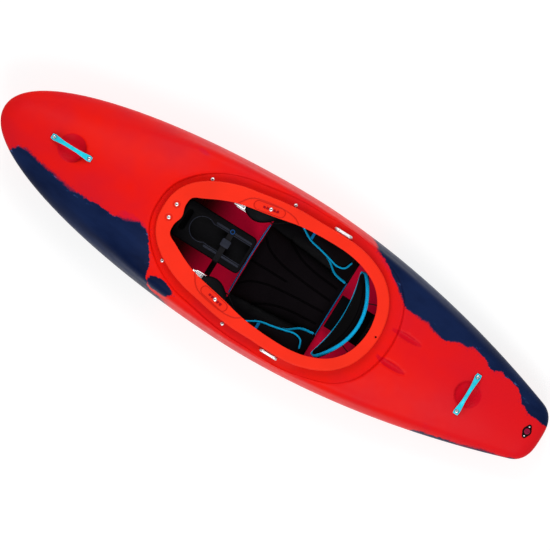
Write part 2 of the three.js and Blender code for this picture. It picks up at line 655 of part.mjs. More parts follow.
function hullShell() {
  const outside = hullLoft(0);
  const edgeAt = (p) => rimWidthAt(p) + grooveWidthAt(p);
  const basinOutline = ringOutline((p) => edgeAt(p) + hull.wall);
  const basinBlock = slopedPrism(basinOutline, -rim.stand - hull.wall, fit.overrun);
  const basinCut = slopedPrism(ringOutline(edgeAt), -rim.stand, fit.overrun);
  const openingCut = slopedPrism(ringOutline((p) => rimWidthAt(p) - rim.overhang - hull.wall / 2),
    -rim.stand - 2 * hull.wall, fit.overrun);
  let shell = outside.subtract(hullLoft(hull.wall)).add(outside.intersect(basinBlock));
  [bowDish, sternDish].forEach((dish) => {
    shell = shell.add(outside.intersect(bowl(dish, hull.wall))).subtract(bowl(dish, 0));
  });
  [1, -1].forEach((side) => {
    shell = shell.add(outside.intersect(scoop(side, hull.wall))).subtract(scoop(side, 0));
  });
  shell = shell.subtract(basinCut).subtract(openingCut).add(rimRing());
  [1, -1].forEach((side) => {
    shell = shell.subtract(braceSlotCut(side));
    const dimpleTop = rimTopAt(rimScrewX);
    shell = shell.subtract(post(rimScrew.dimple, rimScrewX, side * rimScrew.y,
      dimpleTop - rimScrew.dimpleDepth, dimpleTop + rim.edge, screwSideCount));
    shell = shell.subtract(screwHole(rimScrewX, side * rimScrew.y, dimpleTop));
    grooveScrewPlaces.forEach(({ x, y }) => {
      const floor = floorAt(x);
      shell = shell.subtract(post(deckScrew.shankDiameter + 2 * fit.gap, x, side * y, floor - 2 * hull.wall,
        floor + rim.edge, holeSideCount));
    });
    [-1, 1].forEach((end) => {
      const x = rescueBar.x + end * (rescueBar.length - rescueBar.rod) / 2;
      shell = shell.subtract(post(rescueBar.rod + 2 * fit.slide, x, side * rescueBarY,
        floorAt(x) - 2 * hull.wall, floorAt(x) + rim.edge, holeSideCount));
    });
  });
  handleScrewPlaces.forEach(([x, y]) => {
    shell = shell.subtract(screwHole(x, y, deckTop(x, y)));
  });
  const holeX = opening.rearX - rimHole.inset;
  shell = shell.subtract(post(rimHole.diameter, holeX, 0, rimTopAt(holeX) - rimHole.depth,
    rimTopAt(holeX) + rim.edge, screwSideCount));
  const drainPocket = solidOf(prism(diamond(fit.gap), 0, fit.overrun))
    .add(post(drain.neck + 2 * fit.gap, 0, 0, -fit.overrun / 2, drain.flange, screwSideCount));
  const drainHoles = [1, -1].map((side) => post(drain.screwShank + 2 * fit.gap, 0, side * drain.screwY,
    -fit.overrun / 2, drain.flange, holeSideCount));
  return [drainPocket, ...drainHoles].reduce((solid, cut) => solid.subtract(atDrain(cut)), shell);
}

// The free space inside the hull, a gap clear of every wall
function interior() {
  const block = slopedPrism(ringOutline((p) => rimWidthAt(p) + grooveWidthAt(p) + hull.wall + fit.gap),
    -rim.stand - hull.wall - rim.stub - fit.gap, 2 * fit.overrun);
  let space = hullLoft(hull.wall + fit.gap).subtract(block);
  [bowDish, sternDish].forEach((dish) => {
    space = space.subtract(bowl(dish, hull.wall + fit.gap));
  });
  [1, -1].forEach((side) => {
    space = space.subtract(scoop(side, hull.wall + fit.gap));
  });
  return space;
}

// Handles
function grip(size, alongX) {
  const sections = [];
  for (let s = 0; s <= gripStationCount; s += 1) {
    const t = s / gripStationCount * 2 - 1;
    const end = Math.abs(t) ** gripEndPower;
    const arch = 1 - smooth(...gripArchShares, Math.abs(t));
    const ending = s % gripStationCount ? 1 : gripEndShare;
    const halfWidth = THREE.MathUtils.lerp(size.midWidth, size.endWidth, end) / 2 * ending;
    const halfThick = THREE.MathUtils.lerp(size.midThick, size.endThick, end) / 2;
    const along = t * size.length / 2;
    const x = size.centreX + (alongX ? along : 0);
    const y = alongX ? 0 : along;
    const middle = deckTop(x, y) + size.endThick / 2 + arch * size.rise;
    const section = [];
    for (let k = 0; k < gripCornerCount; k += 1) {
      const angle = (k + 0.5) / gripCornerCount * 2 * Math.PI;
      const squareness = (value) => Math.sign(value) * Math.abs(value) ** gripSquarePower;
      const across = halfWidth * squareness(Math.cos(angle));
      const up = middle + halfThick * squareness(Math.sin(angle));
      section.push(new THREE.Vector3(alongX ? x : x + across, alongX ? across : y, up));
    }
    sections.push(section);
  }
  return loft(sections);
}

function handle(size, alongX, skin) {
  let solid = grip(size, alongX).subtract(skin);
  [-1, 1].forEach((end) => {
    const along = end * (size.length / 2 - size.screwInset);
    const x = size.centreX + (alongX ? along : 0);
    const y = alongX ? 0 : along;
    solid = solid.subtract(screwHole(x, y, deckTop(x, y)));
    solid = solid.subtract(post(deckScrew.headDiameter + 2 * fit.gap, x, y,
      deckTop(x, y) + size.endThick - deckScrew.headHeight, deckTop(x, y) + fit.overrun, screwSideCount));
  });
  return solid;
}

function screw(x, y, seatZ) {
  const head = deckScrew.headDiameter / 2;
  const shank = deckScrew.shankDiameter / 2;
  const profile = [[0, -deckScrew.shankLength], [shank, -deckScrew.shankLength], [shank, 0], [head, 0],
    [head, deckScrew.headHeight * headWallShare], [head * headTopShare, deckScrew.headHeight],
    [0, deckScrew.headHeight]];
  const geometry = new THREE.LatheGeometry(profile.map(([r, z]) => new THREE.Vector2(r, z)), screwSideCount);
  geometry.rotateX(Math.PI / 2);
  return solidOf(moved(geometry, x, y, seatZ + fit.gap));
}

// Rescue bar: a bent rod whose feet pass through the floor of the groove
function rescueRod(side) {
  const half = (rescueBar.length - rescueBar.rod) / 2;
  const lean = (floorAt(half) - floorAt(-half)) / 2;
  const base = floorAt(rescueBar.x);
  const top = rescueBar.rise - rescueBar.rod / 2;
  const y = side * rescueBarY;
  const at = (along, up) => new THREE.Vector3(rescueBar.x + along, y, base + up + lean * along / half);
  const path = new THREE.CurvePath();
  path.add(new THREE.LineCurve3(at(-half, -rescueBar.footDepth), at(-half, top - rescueBar.bend)));
  path.add(new THREE.QuadraticBezierCurve3(at(-half, top - rescueBar.bend), at(-half, top),
    at(rescueBar.bend - half, top)));
  path.add(new THREE.LineCurve3(at(rescueBar.bend - half, top), at(half - rescueBar.bend, top)));
  path.add(new THREE.QuadraticBezierCurve3(at(half - rescueBar.bend, top), at(half, top),
    at(half, top - rescueBar.bend)));
  path.add(new THREE.LineCurve3(at(half, top - rescueBar.bend), at(half, -rescueBar.footDepth)));
  let solid = tubeAlong(path, rescueBar.rod, rescueStepCount, rodSideCount);
  [-1, 1].forEach((end) => {
    const x = rescueBar.x + end * half;
    const seat = floorAt(x + rescueBar.collar / 2) + fit.gap;
    solid = solid.add(post(rescueBar.collar, x, y, seat, seat + rescueBar.collarHeight, screwSideCount));
  });
  return solid;
}

function tubeAlong(path, diameter, steps, sides) {
  const section = new THREE.Shape();
  for (let k = 0; k < sides; k += 1) {
    const angle = (k + 0.5) / sides * 2 * Math.PI;
    const point = [diameter / 2 * Math.cos(angle), diameter / 2 * Math.sin(angle)];
    if (k === 0) section.moveTo(...point);
    else section.lineTo(...point);
  }
  return solidOf(new THREE.ExtrudeGeometry(section, { steps, extrudePath: path, bevelEnabled: false }));
}

// Thigh brace: a moulded hook under the rim with a slot's worth of reach
function thighBrace(side) {
  const sections = [];
  for (let s = 0; s <= braceStationCount; s += 1) {
    const t = s / braceStationCount;
    const x = THREE.MathUtils.lerp(brace.startX, brace.endX, t);
    const edge = openingHalfWidthAt(x);
    const swell = THREE.MathUtils.lerp(braceEndShare, 1 - braceEndShare, t);
    const inner = edge - brace.bulge * Math.sin(Math.PI * swell) ** bracePower;
    const outer = edge + brace.reach;
    const top = rimTopAt(x) - rim.flange - fit.gap - brace.thick / 2;
    const fall = brace.drop * THREE.MathUtils.lerp(braceFallShare, 1, Math.sin(Math.PI * t));
    const line = [[outer, top], [inner + brace.roll, top], [inner + brace.roll / 3, top - brace.roll / 3],
      [inner, top - brace.roll], [inner + brace.thick / 2, top - fall]];
    sections.push(bandOutline(line, brace.thick).map(([y, z]) => new THREE.Vector3(x, y, z)));
  }
  const [x, y] = slotFrame(1)(0, 0);
  const solid = loft(sections, { bent: true }).subtract(screwHole(x, y, rimTopAt(x)));
  return mirrored(solid, side);
}

// Ratchet: a channel with two riveted pins, a lever and a holding pawl
const pinY = openingHalfWidthAt(ratchet.x) - ratchet.inset;
const pinZ = rimTopAt(ratchet.x) - ratchet.below;
const strapY = pinY + ladder.behindPin;
const channelY = pinY + ratchet.back;
const ratchetTop = rimTopAt(ratchet.x - ratchet.tabLength / 2) - rim.flange - fit.gap;

function ratchetBase(side) {
  const x0 = ratchet.x - ratchet.length / 2;
  const x1 = ratchet.x + ratchet.length / 2;
  const half = ratchet.inside / 2;
  const frontY = pinY - ratchet.front;
  const low = pinZ - half - ratchet.plate;
  const high = pinZ + half + ratchet.plate;
  let solid = box(x0, x1, frontY, channelY + ratchet.plate, low, high)
    .subtract(box(x0 - fit.overrun, x1 + fit.overrun, frontY - fit.overrun, channelY,
      low + ratchet.plate, high - ratchet.plate));
  solid = solid.add(box(ratchet.x - ratchet.tabLength / 2, ratchet.x + ratchet.tabLength / 2, channelY,
    channelY + ratchet.plate, low, ratchetTop));
  [ratchet.leverX, ratchet.pawlX].forEach((along) => {
    solid = solid.add(post(ratchet.pinDiameter, ratchet.x + along, pinY, low - ratchet.pinHead,
      high + ratchet.pinHead, holeSideCount));
  });
  return mirrored(solid, side);
}

function turningPiece(outline, pivotX, side) {
  const half = ratchet.inside / 2 - fit.slide;
  const solid = solidOf(prism(outline, pinZ - half, pinZ + half))
    .subtract(post(ratchet.pinDiameter + 2 * fit.gap, pivotX, pinY, pinZ - ratchet.inside,
      pinZ + ratchet.inside, screwSideCount));
  return mirrored(solid, side);
}

function arcPoints(x, y, radius, from, to, steps) {
  const points = [];
  for (let k = 0; k <= steps; k += 1) {
    const angle = THREE.MathUtils.degToRad(from + (to - from) * k / steps);
    points.push([x + radius * Math.cos(angle), y + radius * Math.sin(angle)]);
  }
  return points;
}

const noseY = strapY - ladder.tooth - fit.gap;

function ratchetLever(side) {
  const x = ratchet.x + ratchet.leverX;
  const tail = pinY - ratchet.leverSink;
  const barrel = arcPoints(x, pinY, ratchet.barrel, barrelAngles.lever, barrelAngles.end, arcStepCount);
  const outline = [...barrel, [x - ratchet.noseWide / 2, noseY],
    [x - ratchet.noseReach, noseY], [x - ratchet.noseReach, tail], [x - ratchet.leverTail, tail],
    [x - ratchet.leverTail - ratchet.leverThick / 2, tail - ratchet.leverThick / 2],
    [x - ratchet.leverTail, tail - ratchet.leverThick], [x - ratchet.barrel, tail - ratchet.leverThick]];
  return turningPiece(outline, x, side);
}

function ratchetPawl(side) {
  const x = ratchet.x + ratchet.pawlX;
  const barrel = arcPoints(x, pinY, ratchet.pawlBarrel, barrelAngles.pawl, barrelAngles.end, arcStepCount);
  const outline = [...barrel, [x - ratchet.noseWide / 2, noseY], [x - ratchet.noseReach, noseY]];
  return turningPiece(outline, x, side);
}

function ladderStrap(side) {
  const points = [[ladder.startX, strapY + ladder.thick], [ladder.startX, strapY]];
  const count = Math.floor((ladder.endX - ladder.toothStartX) / ladder.pitch) - 1;
  for (let k = 0; k < count; k += 1) {
    const x = ladder.toothStartX + k * ladder.pitch;
    points.push([x, strapY], [x + ladder.pitch * toothShare, strapY - ladder.tooth]);
  }
  points.push([ladder.toothStartX + count * ladder.pitch, strapY]);
  points.push([ladder.endX - ladder.pitch / 2, strapY], [ladder.endX, strapY + ladder.thick / 2],
    [ladder.endX - ladder.pitch / 2, strapY + ladder.thick]);
  return mirrored(solidOf(prism(points, pinZ - ladder.height / 2, pinZ + ladder.height / 2)), side);
}

// Backband: a padded crescent that leans aft, on a thin plastic shell
function backbandPoint(t, up) {
  const bend = 1 - t ** 2;
  const bottomX = THREE.MathUtils.lerp(backband.endBottomX, backband.bottomX, bend);
  const topX = THREE.MathUtils.lerp(backband.endTopX, backband.topX, bend);
  const low = THREE.MathUtils.lerp(backband.endLowZ, backband.lowZ, bend);
  const high = THREE.MathUtils.lerp(backband.endHighZ, backband.highZ, bend);
  return [THREE.MathUtils.lerp(bottomX, topX, up), THREE.MathUtils.lerp(low, high, up)];
}

function backbandLayer(profile, widthShare) {
  const sections = [];
  for (let s = 0; s <= backbandStationCount; s += 1) {
    const t = (s / backbandStationCount * 2 - 1) * widthShare;
    const [bottomX, low] = backbandPoint(t, 0);
    const [topX, high] = backbandPoint(t, 1);
    const lean = new THREE.Vector2(topX - bottomX, high - low).normalize();
    const ending = s % backbandStationCount ? 1 : backbandEndShare;
    sections.push(profile.map(([up, out]) => {
      const [x, z] = backbandPoint(t, up);
      return new THREE.Vector3(x + out * ending * lean.y, t * backband.halfWidth, z - out * ending * lean.x);
    }));
  }
  return loft(sections);
}

function backbandPad() {
  const crown = backbandCrownShares.map(([up, out]) => [up, out * backband.thick]);
  return backbandLayer([...crown, ...backbandRearShares.map((up) => [up, fit.gap])], 1);
}

function backbandShell() {
  const front = backbandRearShares.map((up) => [up, -fit.gap]).reverse();
  const rear = backbandRearShares.map((up) => [up, -backband.shell]);
  return backbandLayer([...front, ...rear], shellWidthShare);
}

// Where the back of the shell stands at a height, for what is tied to it
function shellBackAt(y, z) {
  const t = y / backband.halfWidth;
  const [bottomX, low] = backbandPoint(t, 0);
  const [topX, high] = backbandPoint(t, 1);
  return THREE.MathUtils.lerp(bottomX, topX, (z - low) / (high - low)) - backband.shell - fit.gap;
}

function backbandWebbing(side) {
  const behind = webbing.thick / 2 + fit.slide;
  const topEdge = webbing.lowZ + webbing.height / 2;
  const route = [
    new THREE.Vector3(shellBackAt(webbing.startY, topEdge) - behind, webbing.startY, webbing.lowZ),
    new THREE.Vector3(shellBackAt(backband.halfWidth, topEdge) - behind, webbing.turnY, webbing.lowZ),
    new THREE.Vector3(webbing.bendX, webbing.outerY, webbing.lowZ),
    new THREE.Vector3(0, webbing.outerY, webbing.lowZ + webbing.height / 4),
    new THREE.Vector3(webbing.joinX, strapY + ladder.thick + fit.gap + webbing.thick / 2, pinZ),
    new THREE.Vector3(webbing.joinX + webbing.tail, strapY + ladder.thick + fit.gap + webbing.thick / 2,
      pinZ),
  ];
  const sections = route.map((p, i) => {
    const before = route[Math.max(i - 1, 0)];
    const after = route[Math.min(i + 1, route.length - 1)];
    const run = new THREE.Vector2(after.x - before.x, after.y - before.y).normalize();
    const corner = (across, up) => new THREE.Vector3(p.x - run.y * across, p.y + run.x * across, p.z + up);
    const t = webbing.thick / 2;
    const h = webbing.height / 2;
    return [corner(-t, -h), corner(t, -h), corner(t, h), corner(-t, h)];
  });
  return mirrored(loft(sections), side);
}

const eyeX = opening.rearX - backCord.eyeAft;
const cordZ = backband.highZ - backCord.below;

function backCordTube(side) {
  const startX = shellBackAt(backCord.startY, cordZ + backCord.diameter / 2) - fit.gap;
  const at = (x, y) => new THREE.Vector3(x, side * y, cordZ);
  const leadX = eyeX + backCord.lead;
  const path = new THREE.CurvePath();
  const lead = at(leadX, backCord.eyeY);
  path.add(new THREE.QuadraticBezierCurve3(at(startX, backCord.startY),
    at((startX + leadX) / 2, backCord.eyeY), lead));
  path.add(new THREE.LineCurve3(lead, at(opening.rearX - backCord.endAft, backCord.eyeY)));
  return tubeAlong(path, backCord.diameter, cordStepCount, rodSideCount);
}

// The eye under the stern deck that each cord runs through
function cordEyePiece(side) {
  const top = floorAt(eyeX - cordEye.plateLength / 2) - hull.wall - fit.gap;
  const y = backCord.eyeY;
  const eye = box(eyeX - cordEye.thick / 2, eyeX + cordEye.thick / 2, y - cordEye.width / 2,
    y + cordEye.width / 2, cordZ - cordEye.hole / 2 - cordEye.below, top);
  const plate = box(eyeX - cordEye.plateLength / 2, eyeX + cordEye.plateLength / 2,
    y - cordEye.width / 2, y + cordEye.width / 2, top - cordEye.plateThick, top);
  const bore = new THREE.CylinderGeometry(cordEye.hole / 2, cordEye.hole / 2, fit.overrun, screwSideCount);
  bore.rotateZ(Math.PI / 2);
  return mirrored(eye.add(plate).subtract(solidOf(moved(bore, eyeX, y, cordZ))), side);
}

// Seat
const panFloor = hull.wall + fit.gap + seat.railHeight + fit.gap;
const panLine = (() => {
  const rise = seat.wingTop - panFloor - seat.wall / 2;
  const right = wingSectionShares.map(([w, h]) => [w * seat.halfWidth, panFloor + seat.wall / 2 + h * rise]);
  return [...right, ...right.slice().reverse().map(([y, z]) => [-y, z])];
})();

function panInside() {
  const clear = bandOutline(panLine, seat.wall + 2 * fit.gap).slice(panLine.length);
  const outward = bandOutline(panLine, seat.wall + 2 * fit.gap).slice(0, panLine.length);
  const middle = Math.floor(clear.length / 2);
  const upper = clear[middle][1] > outward[middle][1] ? clear : outward;
  const top = seat.wingTop + hipPad.low + hipPad.height;
  const ends = [upper[0], upper[upper.length - 1]];
  const outline = [...upper, [ends[1][0], top], [ends[0][0], top]];
  return longPrism(outline, seat.rearX - fit.overrun, seat.frontX + fit.overrun);
}

function seatPan() {
  const sides = [[seat.rearX, panFloor - fit.gap], [seat.frontX, panFloor - fit.gap],
    [seat.frontX, panFloor + seat.lipHeight / 2],
    [seat.wingFrontX + seat.wingSlope, panFloor + seat.lipHeight],
    [seat.wingFrontX, seat.wingTop - seat.lipHeight],
    [seat.wingFrontX - seat.lipHeight, seat.wingTop + seat.wall],
    [seat.wingRearX + seat.cornerRise, seat.wingTop + seat.wall],
    [seat.wingRearX, seat.wingTop - seat.cornerRise],
    [seat.wingRearX, panFloor + seat.lipHeight], [seat.rearX, panFloor + seat.lipHeight]];
  let pan = longPrism(bandOutline(panLine, seat.wall), seat.rearX, seat.frontX)
    .intersect(sidePrism(sides, -seat.halfWidth - fit.overrun, seat.halfWidth + fit.overrun));
  [0, 1].forEach((k) => {
    const x = (seat.wingRearX + seat.wingFrontX + wingSlot.pitch) / 2 + wingSlot.shift - k * wingSlot.pitch;
    pan = pan.subtract(box(x - wingSlot.length / 2, x + wingSlot.length / 2, -seat.halfWidth - fit.overrun,
      seat.halfWidth + fit.overrun, wingSlot.z - wingSlot.height / 2, wingSlot.z + wingSlot.height / 2));
  });
  return pan;
}

function seatRail(side) {
  const y = side * seat.railY;
  const half = seat.railWidth / 2;
  const base = hull.wall + fit.gap;
  const outline = [[y - half, base], [y + half, base], [y + half, base + seat.wall],
    [y + half / 2, base + seat.wall], [y + half / 2, base + seat.railHeight],
    [y - half / 2, base + seat.railHeight], [y - half / 2, base + seat.wall],
    [y - half, base + seat.wall]];
  return longPrism(outline, seat.railRearX, seat.railFrontX);
}

// Seat pad: crowned, drawn in at its edges, with sewn channels that close in toward the back
function seatCushion(inside) {
  const base = panFloor + seat.wall + fit.gap;
  const rows = [];
  for (let i = 0; i <= padLengthCount; i += 1) {
    const u = i / padLengthCount;
    const half = THREE.MathUtils.lerp(seatPad.rearHalf, seatPad.frontHalf, u ** padTaperPower);
    const row = [];
    for (let j = 0; j <= padWidthCount; j += 1) {
      const v = j / padWidthCount * 2 - 1;
      const x = THREE.MathUtils.lerp(seatPad.rearX, seatPad.frontX, u) - seatPad.bow * v ** 2 * u;
      const side = Math.min(1 - Math.abs(v), padSideShare) / padSideShare;
      const ends = Math.min(u, 1 - u, padEndShare) / padEndShare;
      const crown = Math.sqrt(Math.sin(Math.PI / 2 * side)) * Math.sqrt(Math.sin(Math.PI / 2 * ends));
      const rib = Math.abs(Math.sin(Math.PI * ribCount * (v + 1) / 2)) ** ribPower;
      const swell = crown * (seatPad.crown - seatPad.edge) - seatPad.ribDepth * (1 - rib) * crown;
      row.push([x, v * half, base + seatPad.edge + swell]);
    }
    rows.push(row);
  }
  const sections = rows.map((row) => {
    const top = row.map(([x, y, z]) => new THREE.Vector3(x, y, z));
    const bottom = row.slice().reverse().map(([x, y]) => new THREE.Vector3(x, y * padBaseShare, base));
    return [...top, ...bottom.filter((p, k) => k % padBaseStride === 0)];
  });
  return loft(sections).intersect(inside);
}

// A pad with rounded edges on a closed outline
function pillow(shares, size, side, inside) {
  const places = shares.map(([u, v]) => new THREE.Vector3(
    THREE.MathUtils.lerp(seat.wingFrontX, seat.wingRearX, u), v * seat.halfWidth, 0));
  const curve = new THREE.CatmullRomCurve3(places, true, 'centripetal');
  const outline = curve.getSpacedPoints(pillowPointCount).slice(0, pillowPointCount);
  const centre = outline.reduce((sum, p) => sum.add(p), new THREE.Vector3()).divideScalar(outline.length);
  const sections = pillowRingShares.map(([scale, up]) => outline.map((p) => new THREE.Vector3(
    centre.x + (p.x - centre.x) * scale,
    centre.y + (p.y - centre.y) * scale,
    size.low + up * size.height,
  )));
  return mirrored(loft(sections).intersect(inside), side);
}

// Pillars
function stepOutPillar(space) {
  const halfX = (pillar.frontX - pillar.rearX) / 2;
  const middle = (pillar.frontX + pillar.rearX) / 2;
  const halfY = pillar.halfWidth;
  const outline = (inset) => roundedRectangle(halfX - inset, halfY - inset, pillar.corner, cornerStepCount)
    .map(([x, y]) => [x + middle, y]);
  const bevel = pillar.corner / 4;
  const levels = [[0, 0], [0, pillar.top - bevel], [bevel, pillar.top]];
  let solid = loft(levels.map(([inset, z]) => outline(inset).map(([x, y]) => new THREE.Vector3(x, y, z))));
  const neckX = bottle.endX - bottle.radius;
  const recess = [...arcPoints(bottle.endX, 0, bottle.radius, -bottleArc, bottleArc, bottleStepCount),
    [neckX, bottle.neckHalf], [bottle.mouthX, bottle.neckHalf], [bottle.mouthX, -bottle.neckHalf],
    [neckX, -bottle.neckHalf]];
  solid = solid.subtract(solidOf(prism(recess, pillar.top - bottle.depth, pillar.top + fit.overrun)));
  const half = gripSlot.width / 2;
  const slot = roundedRectangle(half, gripSlot.halfWidth, half - fit.gap, cornerStepCount)
    .map(([x, y]) => [x + pillar.frontX - gripSlot.inset, y]);
  solid = solid.subtract(solidOf(prism(slot, pillar.top - gripSlot.depth, pillar.top + fit.overrun)));
  const hollow = box(pillar.rearX + pillar.wall, pillar.frontX - pillar.wall, pillar.wall - pillar.halfWidth,
    pillar.halfWidth - pillar.wall, 0, pillar.top - gripSlot.depth - pillar.wall);
  return solid.subtract(hollow).intersect(space);
}

// Foam is drilled where a deck screw runs down into it
function drilled(solid) {
  return handleScrewPlaces.reduce((left, [x, y]) => left.subtract(screwHole(x, y, deckTop(x, y))), solid);
}

function bowPillar(space) {
  const half = bowFoam.halfWidth;
  return drilled(box(bowFoam.rearX, bowFoam.frontX, -half, half, 0, hull.deckHeight).intersect(space));
}

function rearPillar(space) {
  const outline = [[rearFoam.stepX, 0], [rearFoam.stepX, rearFoam.stepHeight],
    [rearFoam.wallX, rearFoam.wallHeight],
    [rearFoam.wallX, hull.deckHeight], [rearFoam.endX, hull.deckHeight], [rearFoam.endX, 0]];
  return drilled(sidePrism(outline, -rearFoam.halfWidth, rearFoam.halfWidth).intersect(space));
}

// Strap over the step-out pillar, with its buckle and ring
function bottleStrap() {
  const lift = strap.thick / 2 + fit.gap;
  const side = pillar.halfWidth + lift;
  const over = pillar.top + lift;
  const low = hull.wall + lift;
  const bend = strapInset.bend;
  const line = [[strap.startY, over], [0, over], [side - bend, over], [side, over - bend],
    [side, low + bend], [side + bend, low], [strap.endY, low]];
  return longPrism(bandOutline(line, strap.thick), strap.x - strap.width / 2, strap.x + strap.width / 2);
}

function strapBuckle() {
  const base = pillar.top + strap.thick + 2 * fit.gap;
  const outline = roundedRectangle(buckle.length / 2, buckle.width / 2, buckle.corner, cornerStepCount)
    .map(([x, y]) => [x + strap.x, y]);
  return solidOf(prism(outline, base, base + buckle.height));
}

function strapRing() {
  const geometry = new THREE.TorusGeometry(ring.radius, ring.wire, ringSideCount, ringStepCount);
  const height = pillar.top + strap.thick + 2 * fit.gap + ring.wire;
  return solidOf(moved(geometry, strap.x, strap.startY + ring.inset, height));
}

// Footrests: a rail on the bow pillar, and a plate with a foam pad that slides along it
function footRail(side) {
  const y = bowFoam.halfWidth + fit.gap;
  const half = foot.railHeight / 2;
  const low = foot.railZ - half;
  const high = foot.railZ + half;
  const outline = [[y, low], [y + foot.railWidth, low], [y + foot.railWidth, low + foot.clasp],
    [y + foot.railWidth / 2, low + foot.clasp], [y + foot.railWidth / 2, high - foot.clasp],
    [y + foot.railWidth, high - foot.clasp], [y + foot.railWidth, high], [y, high]];
  return mirrored(longPrism(outline, foot.railRearX, foot.railFrontX), side);
}

function footOutline(inset) {
  const halfY = (foot.outerY - foot.innerY) / 2 - inset;
  const halfZ = (foot.highZ - foot.lowZ) / 2 - inset;
  return roundedRectangle(halfY, halfZ, foot.corner - inset, cornerStepCount)
    .map(([y, z]) => [y + (foot.outerY + foot.innerY) / 2, z + (foot.highZ + foot.lowZ) / 2]);
}

function footPlate(side) {
  const tongueY = bowFoam.halfWidth + fit.gap + foot.railWidth / 2 + fit.slide;
  const halfTongue = foot.railHeight / 2 - foot.clasp - fit.slide;
  const plate = longPrism(footOutline(0), foot.plateX, foot.plateX + foot.plateThick);
  const shoe = box(foot.plateX, foot.plateX + foot.shoe, foot.innerY, foot.innerY + foot.plateThick,
    foot.railZ - foot.railHeight / 2, foot.railZ + foot.railHeight / 2);
  const tongue = box(foot.plateX, foot.plateX + foot.shoe, tongueY, foot.innerY + foot.plateThick,
    foot.railZ - halfTongue, foot.railZ + halfTongue);
  return mirrored(plate.add(shoe).add(tongue), side);
}

function footPad(side) {
  const face = foot.plateX - fit.gap;
  const sections = [[footRoom.padEdge, face], [footRoom.padEdge, face - foot.padThick * padEdgeShare],
    [footRoom.padEdge + footRoom.padBevel, face - foot.padThick]]
    .map(([inset, x]) => footOutline(inset).map(([y, z]) => new THREE.Vector3(x, y, z)));
  return mirrored(loft(sections), side);
}

// Drain
function diamond(extra) {
  const tip = drain.halfLength - drain.tipRound;
  const waist = drain.halfWidth;
  const { tip: tipAngle, waist: waistAngle } = diamondAngles;
  return [0, halfTurn].flatMap((turn) => {
    const end = turn ? -tip : tip;
    const opposite = turn + halfTurn;
    return [...arcPoints(0, end, drain.tipRound + extra, turn + tipAngle, opposite - tipAngle, arcStepCount),
      ...arcPoints(0, 0, waist + extra, opposite - waistAngle, opposite + waistAngle, 2)];
  });
}

function drainHousing() {
  let solid = solidOf(prism(diamond(0), fit.gap, drain.flange))
    .add(post(drain.neck, 0, 0, -drain.neckDepth, drain.flange, screwSideCount));
  solid = solid.subtract(post(drain.bore + 2 * fit.gap, 0, 0, -fit.overrun, fit.overrun, screwSideCount));
  [1, -1].forEach((side) => {
    const hole = post(drain.screwShank + 2 * fit.gap, 0, side * drain.screwY, -fit.overrun, fit.overrun,
      holeSideCount);
    solid = solid.subtract(hole);
  });
  return atDrain(solid);
}

function drainPlug() {
  const seat = drain.flange + fit.gap;
  const stem = post(drain.bore - 2 * fit.gap, 0, 0, -drain.plugDepth, seat + drain.plugRise / 2,
    screwSideCount);
  const plug = stem.add(post(drain.plugHead, 0, 0, seat, seat + drain.plugRise, plugSideCount));
  const slot = box(-drain.plugHead / 3, drain.plugHead / 3, -drain.slot / 2, drain.slot / 2,
    seat + drain.plugRise - drain.slotDepth, seat + drain.plugRise + fit.overrun);
  return atDrain(plug.subtract(slot));
}

function drainScrew(side) {
  const y = side * drain.screwY;
  const seat = drain.flange + fit.gap;
  const head = post(drain.screwHead, 0, y, seat, seat + drain.headRise, holeSideCount);
  const shank = post(drain.screwShank, 0, y, -drain.neckDepth, seat + drain.headRise / 2, holeSideCount);
  return atDrain(head.add(shank));
}

// Materials
const finish = (color, roughness, metalness = 0) => (
  new THREE.MeshStandardMaterial({ color, roughness, metalness }));
const finishes = {
  hull: finish(0xe8281c, 0.35),
  black: finish(0x17181b, 0.6),
  foam: finish(0x1d1e20, 0.95),
  fabric: finish(0x14161a, 0.9),
  steel: finish(0xc9ccd0, 0.3, 1),
  turquoise: finish(0x10bcd8, 0.4),
  grey: finish(0x6a6d72, 0.6),
  blue: finish(0x1187d8, 0.6),
  plug: finish(0x6c0a20, 0.5),
};

const group = new THREE.Group();
const sides = [['port', 1], ['starboard', -1]];

function add(name, solid, material) {
  const mesh = new THREE.Mesh(geometryOf(solid), material);
  mesh.name = name;
  group.add(mesh);
}

const space = interior();
const skin = hullLoft(-fit.gap).subtract(bowl(bowDish, -fit.gap)).subtract(bowl(sternDish, -fit.gap));
const inside = panInside();

add('hull_shell', hullShell(), finishes.hull);
add('front_pillar', stepOutPillar(space), finishes.black);
add('bow_pillar', bowPillar(space), finishes.foam);
add('rear_pillar', rearPillar(space), finishes.foam);
add('seat_pan', seatPan(), finishes.black);
add('seat_pad', seatCushion(inside), finishes.fabric);
add('backband_pad', backbandPad(), finishes.fabric);
add('backband_shell', backbandShell(), finishes.black);
add('bottle_strap', bottleStrap(), finishes.fabric);
add('bottle_strap_buckle', strapBuckle(), finishes.grey);
add('bottle_strap_ring', strapRing(), finishes.blue);
add('bow_handle', handle(bowGrip, true, skin), finishes.turquoise);
add('stern_handle', handle(sternGrip, false, skin), finishes.turquoise);
add('drain_housing', drainHousing(), finishes.black);
add('drain_plug', drainPlug(), finishes.plug);

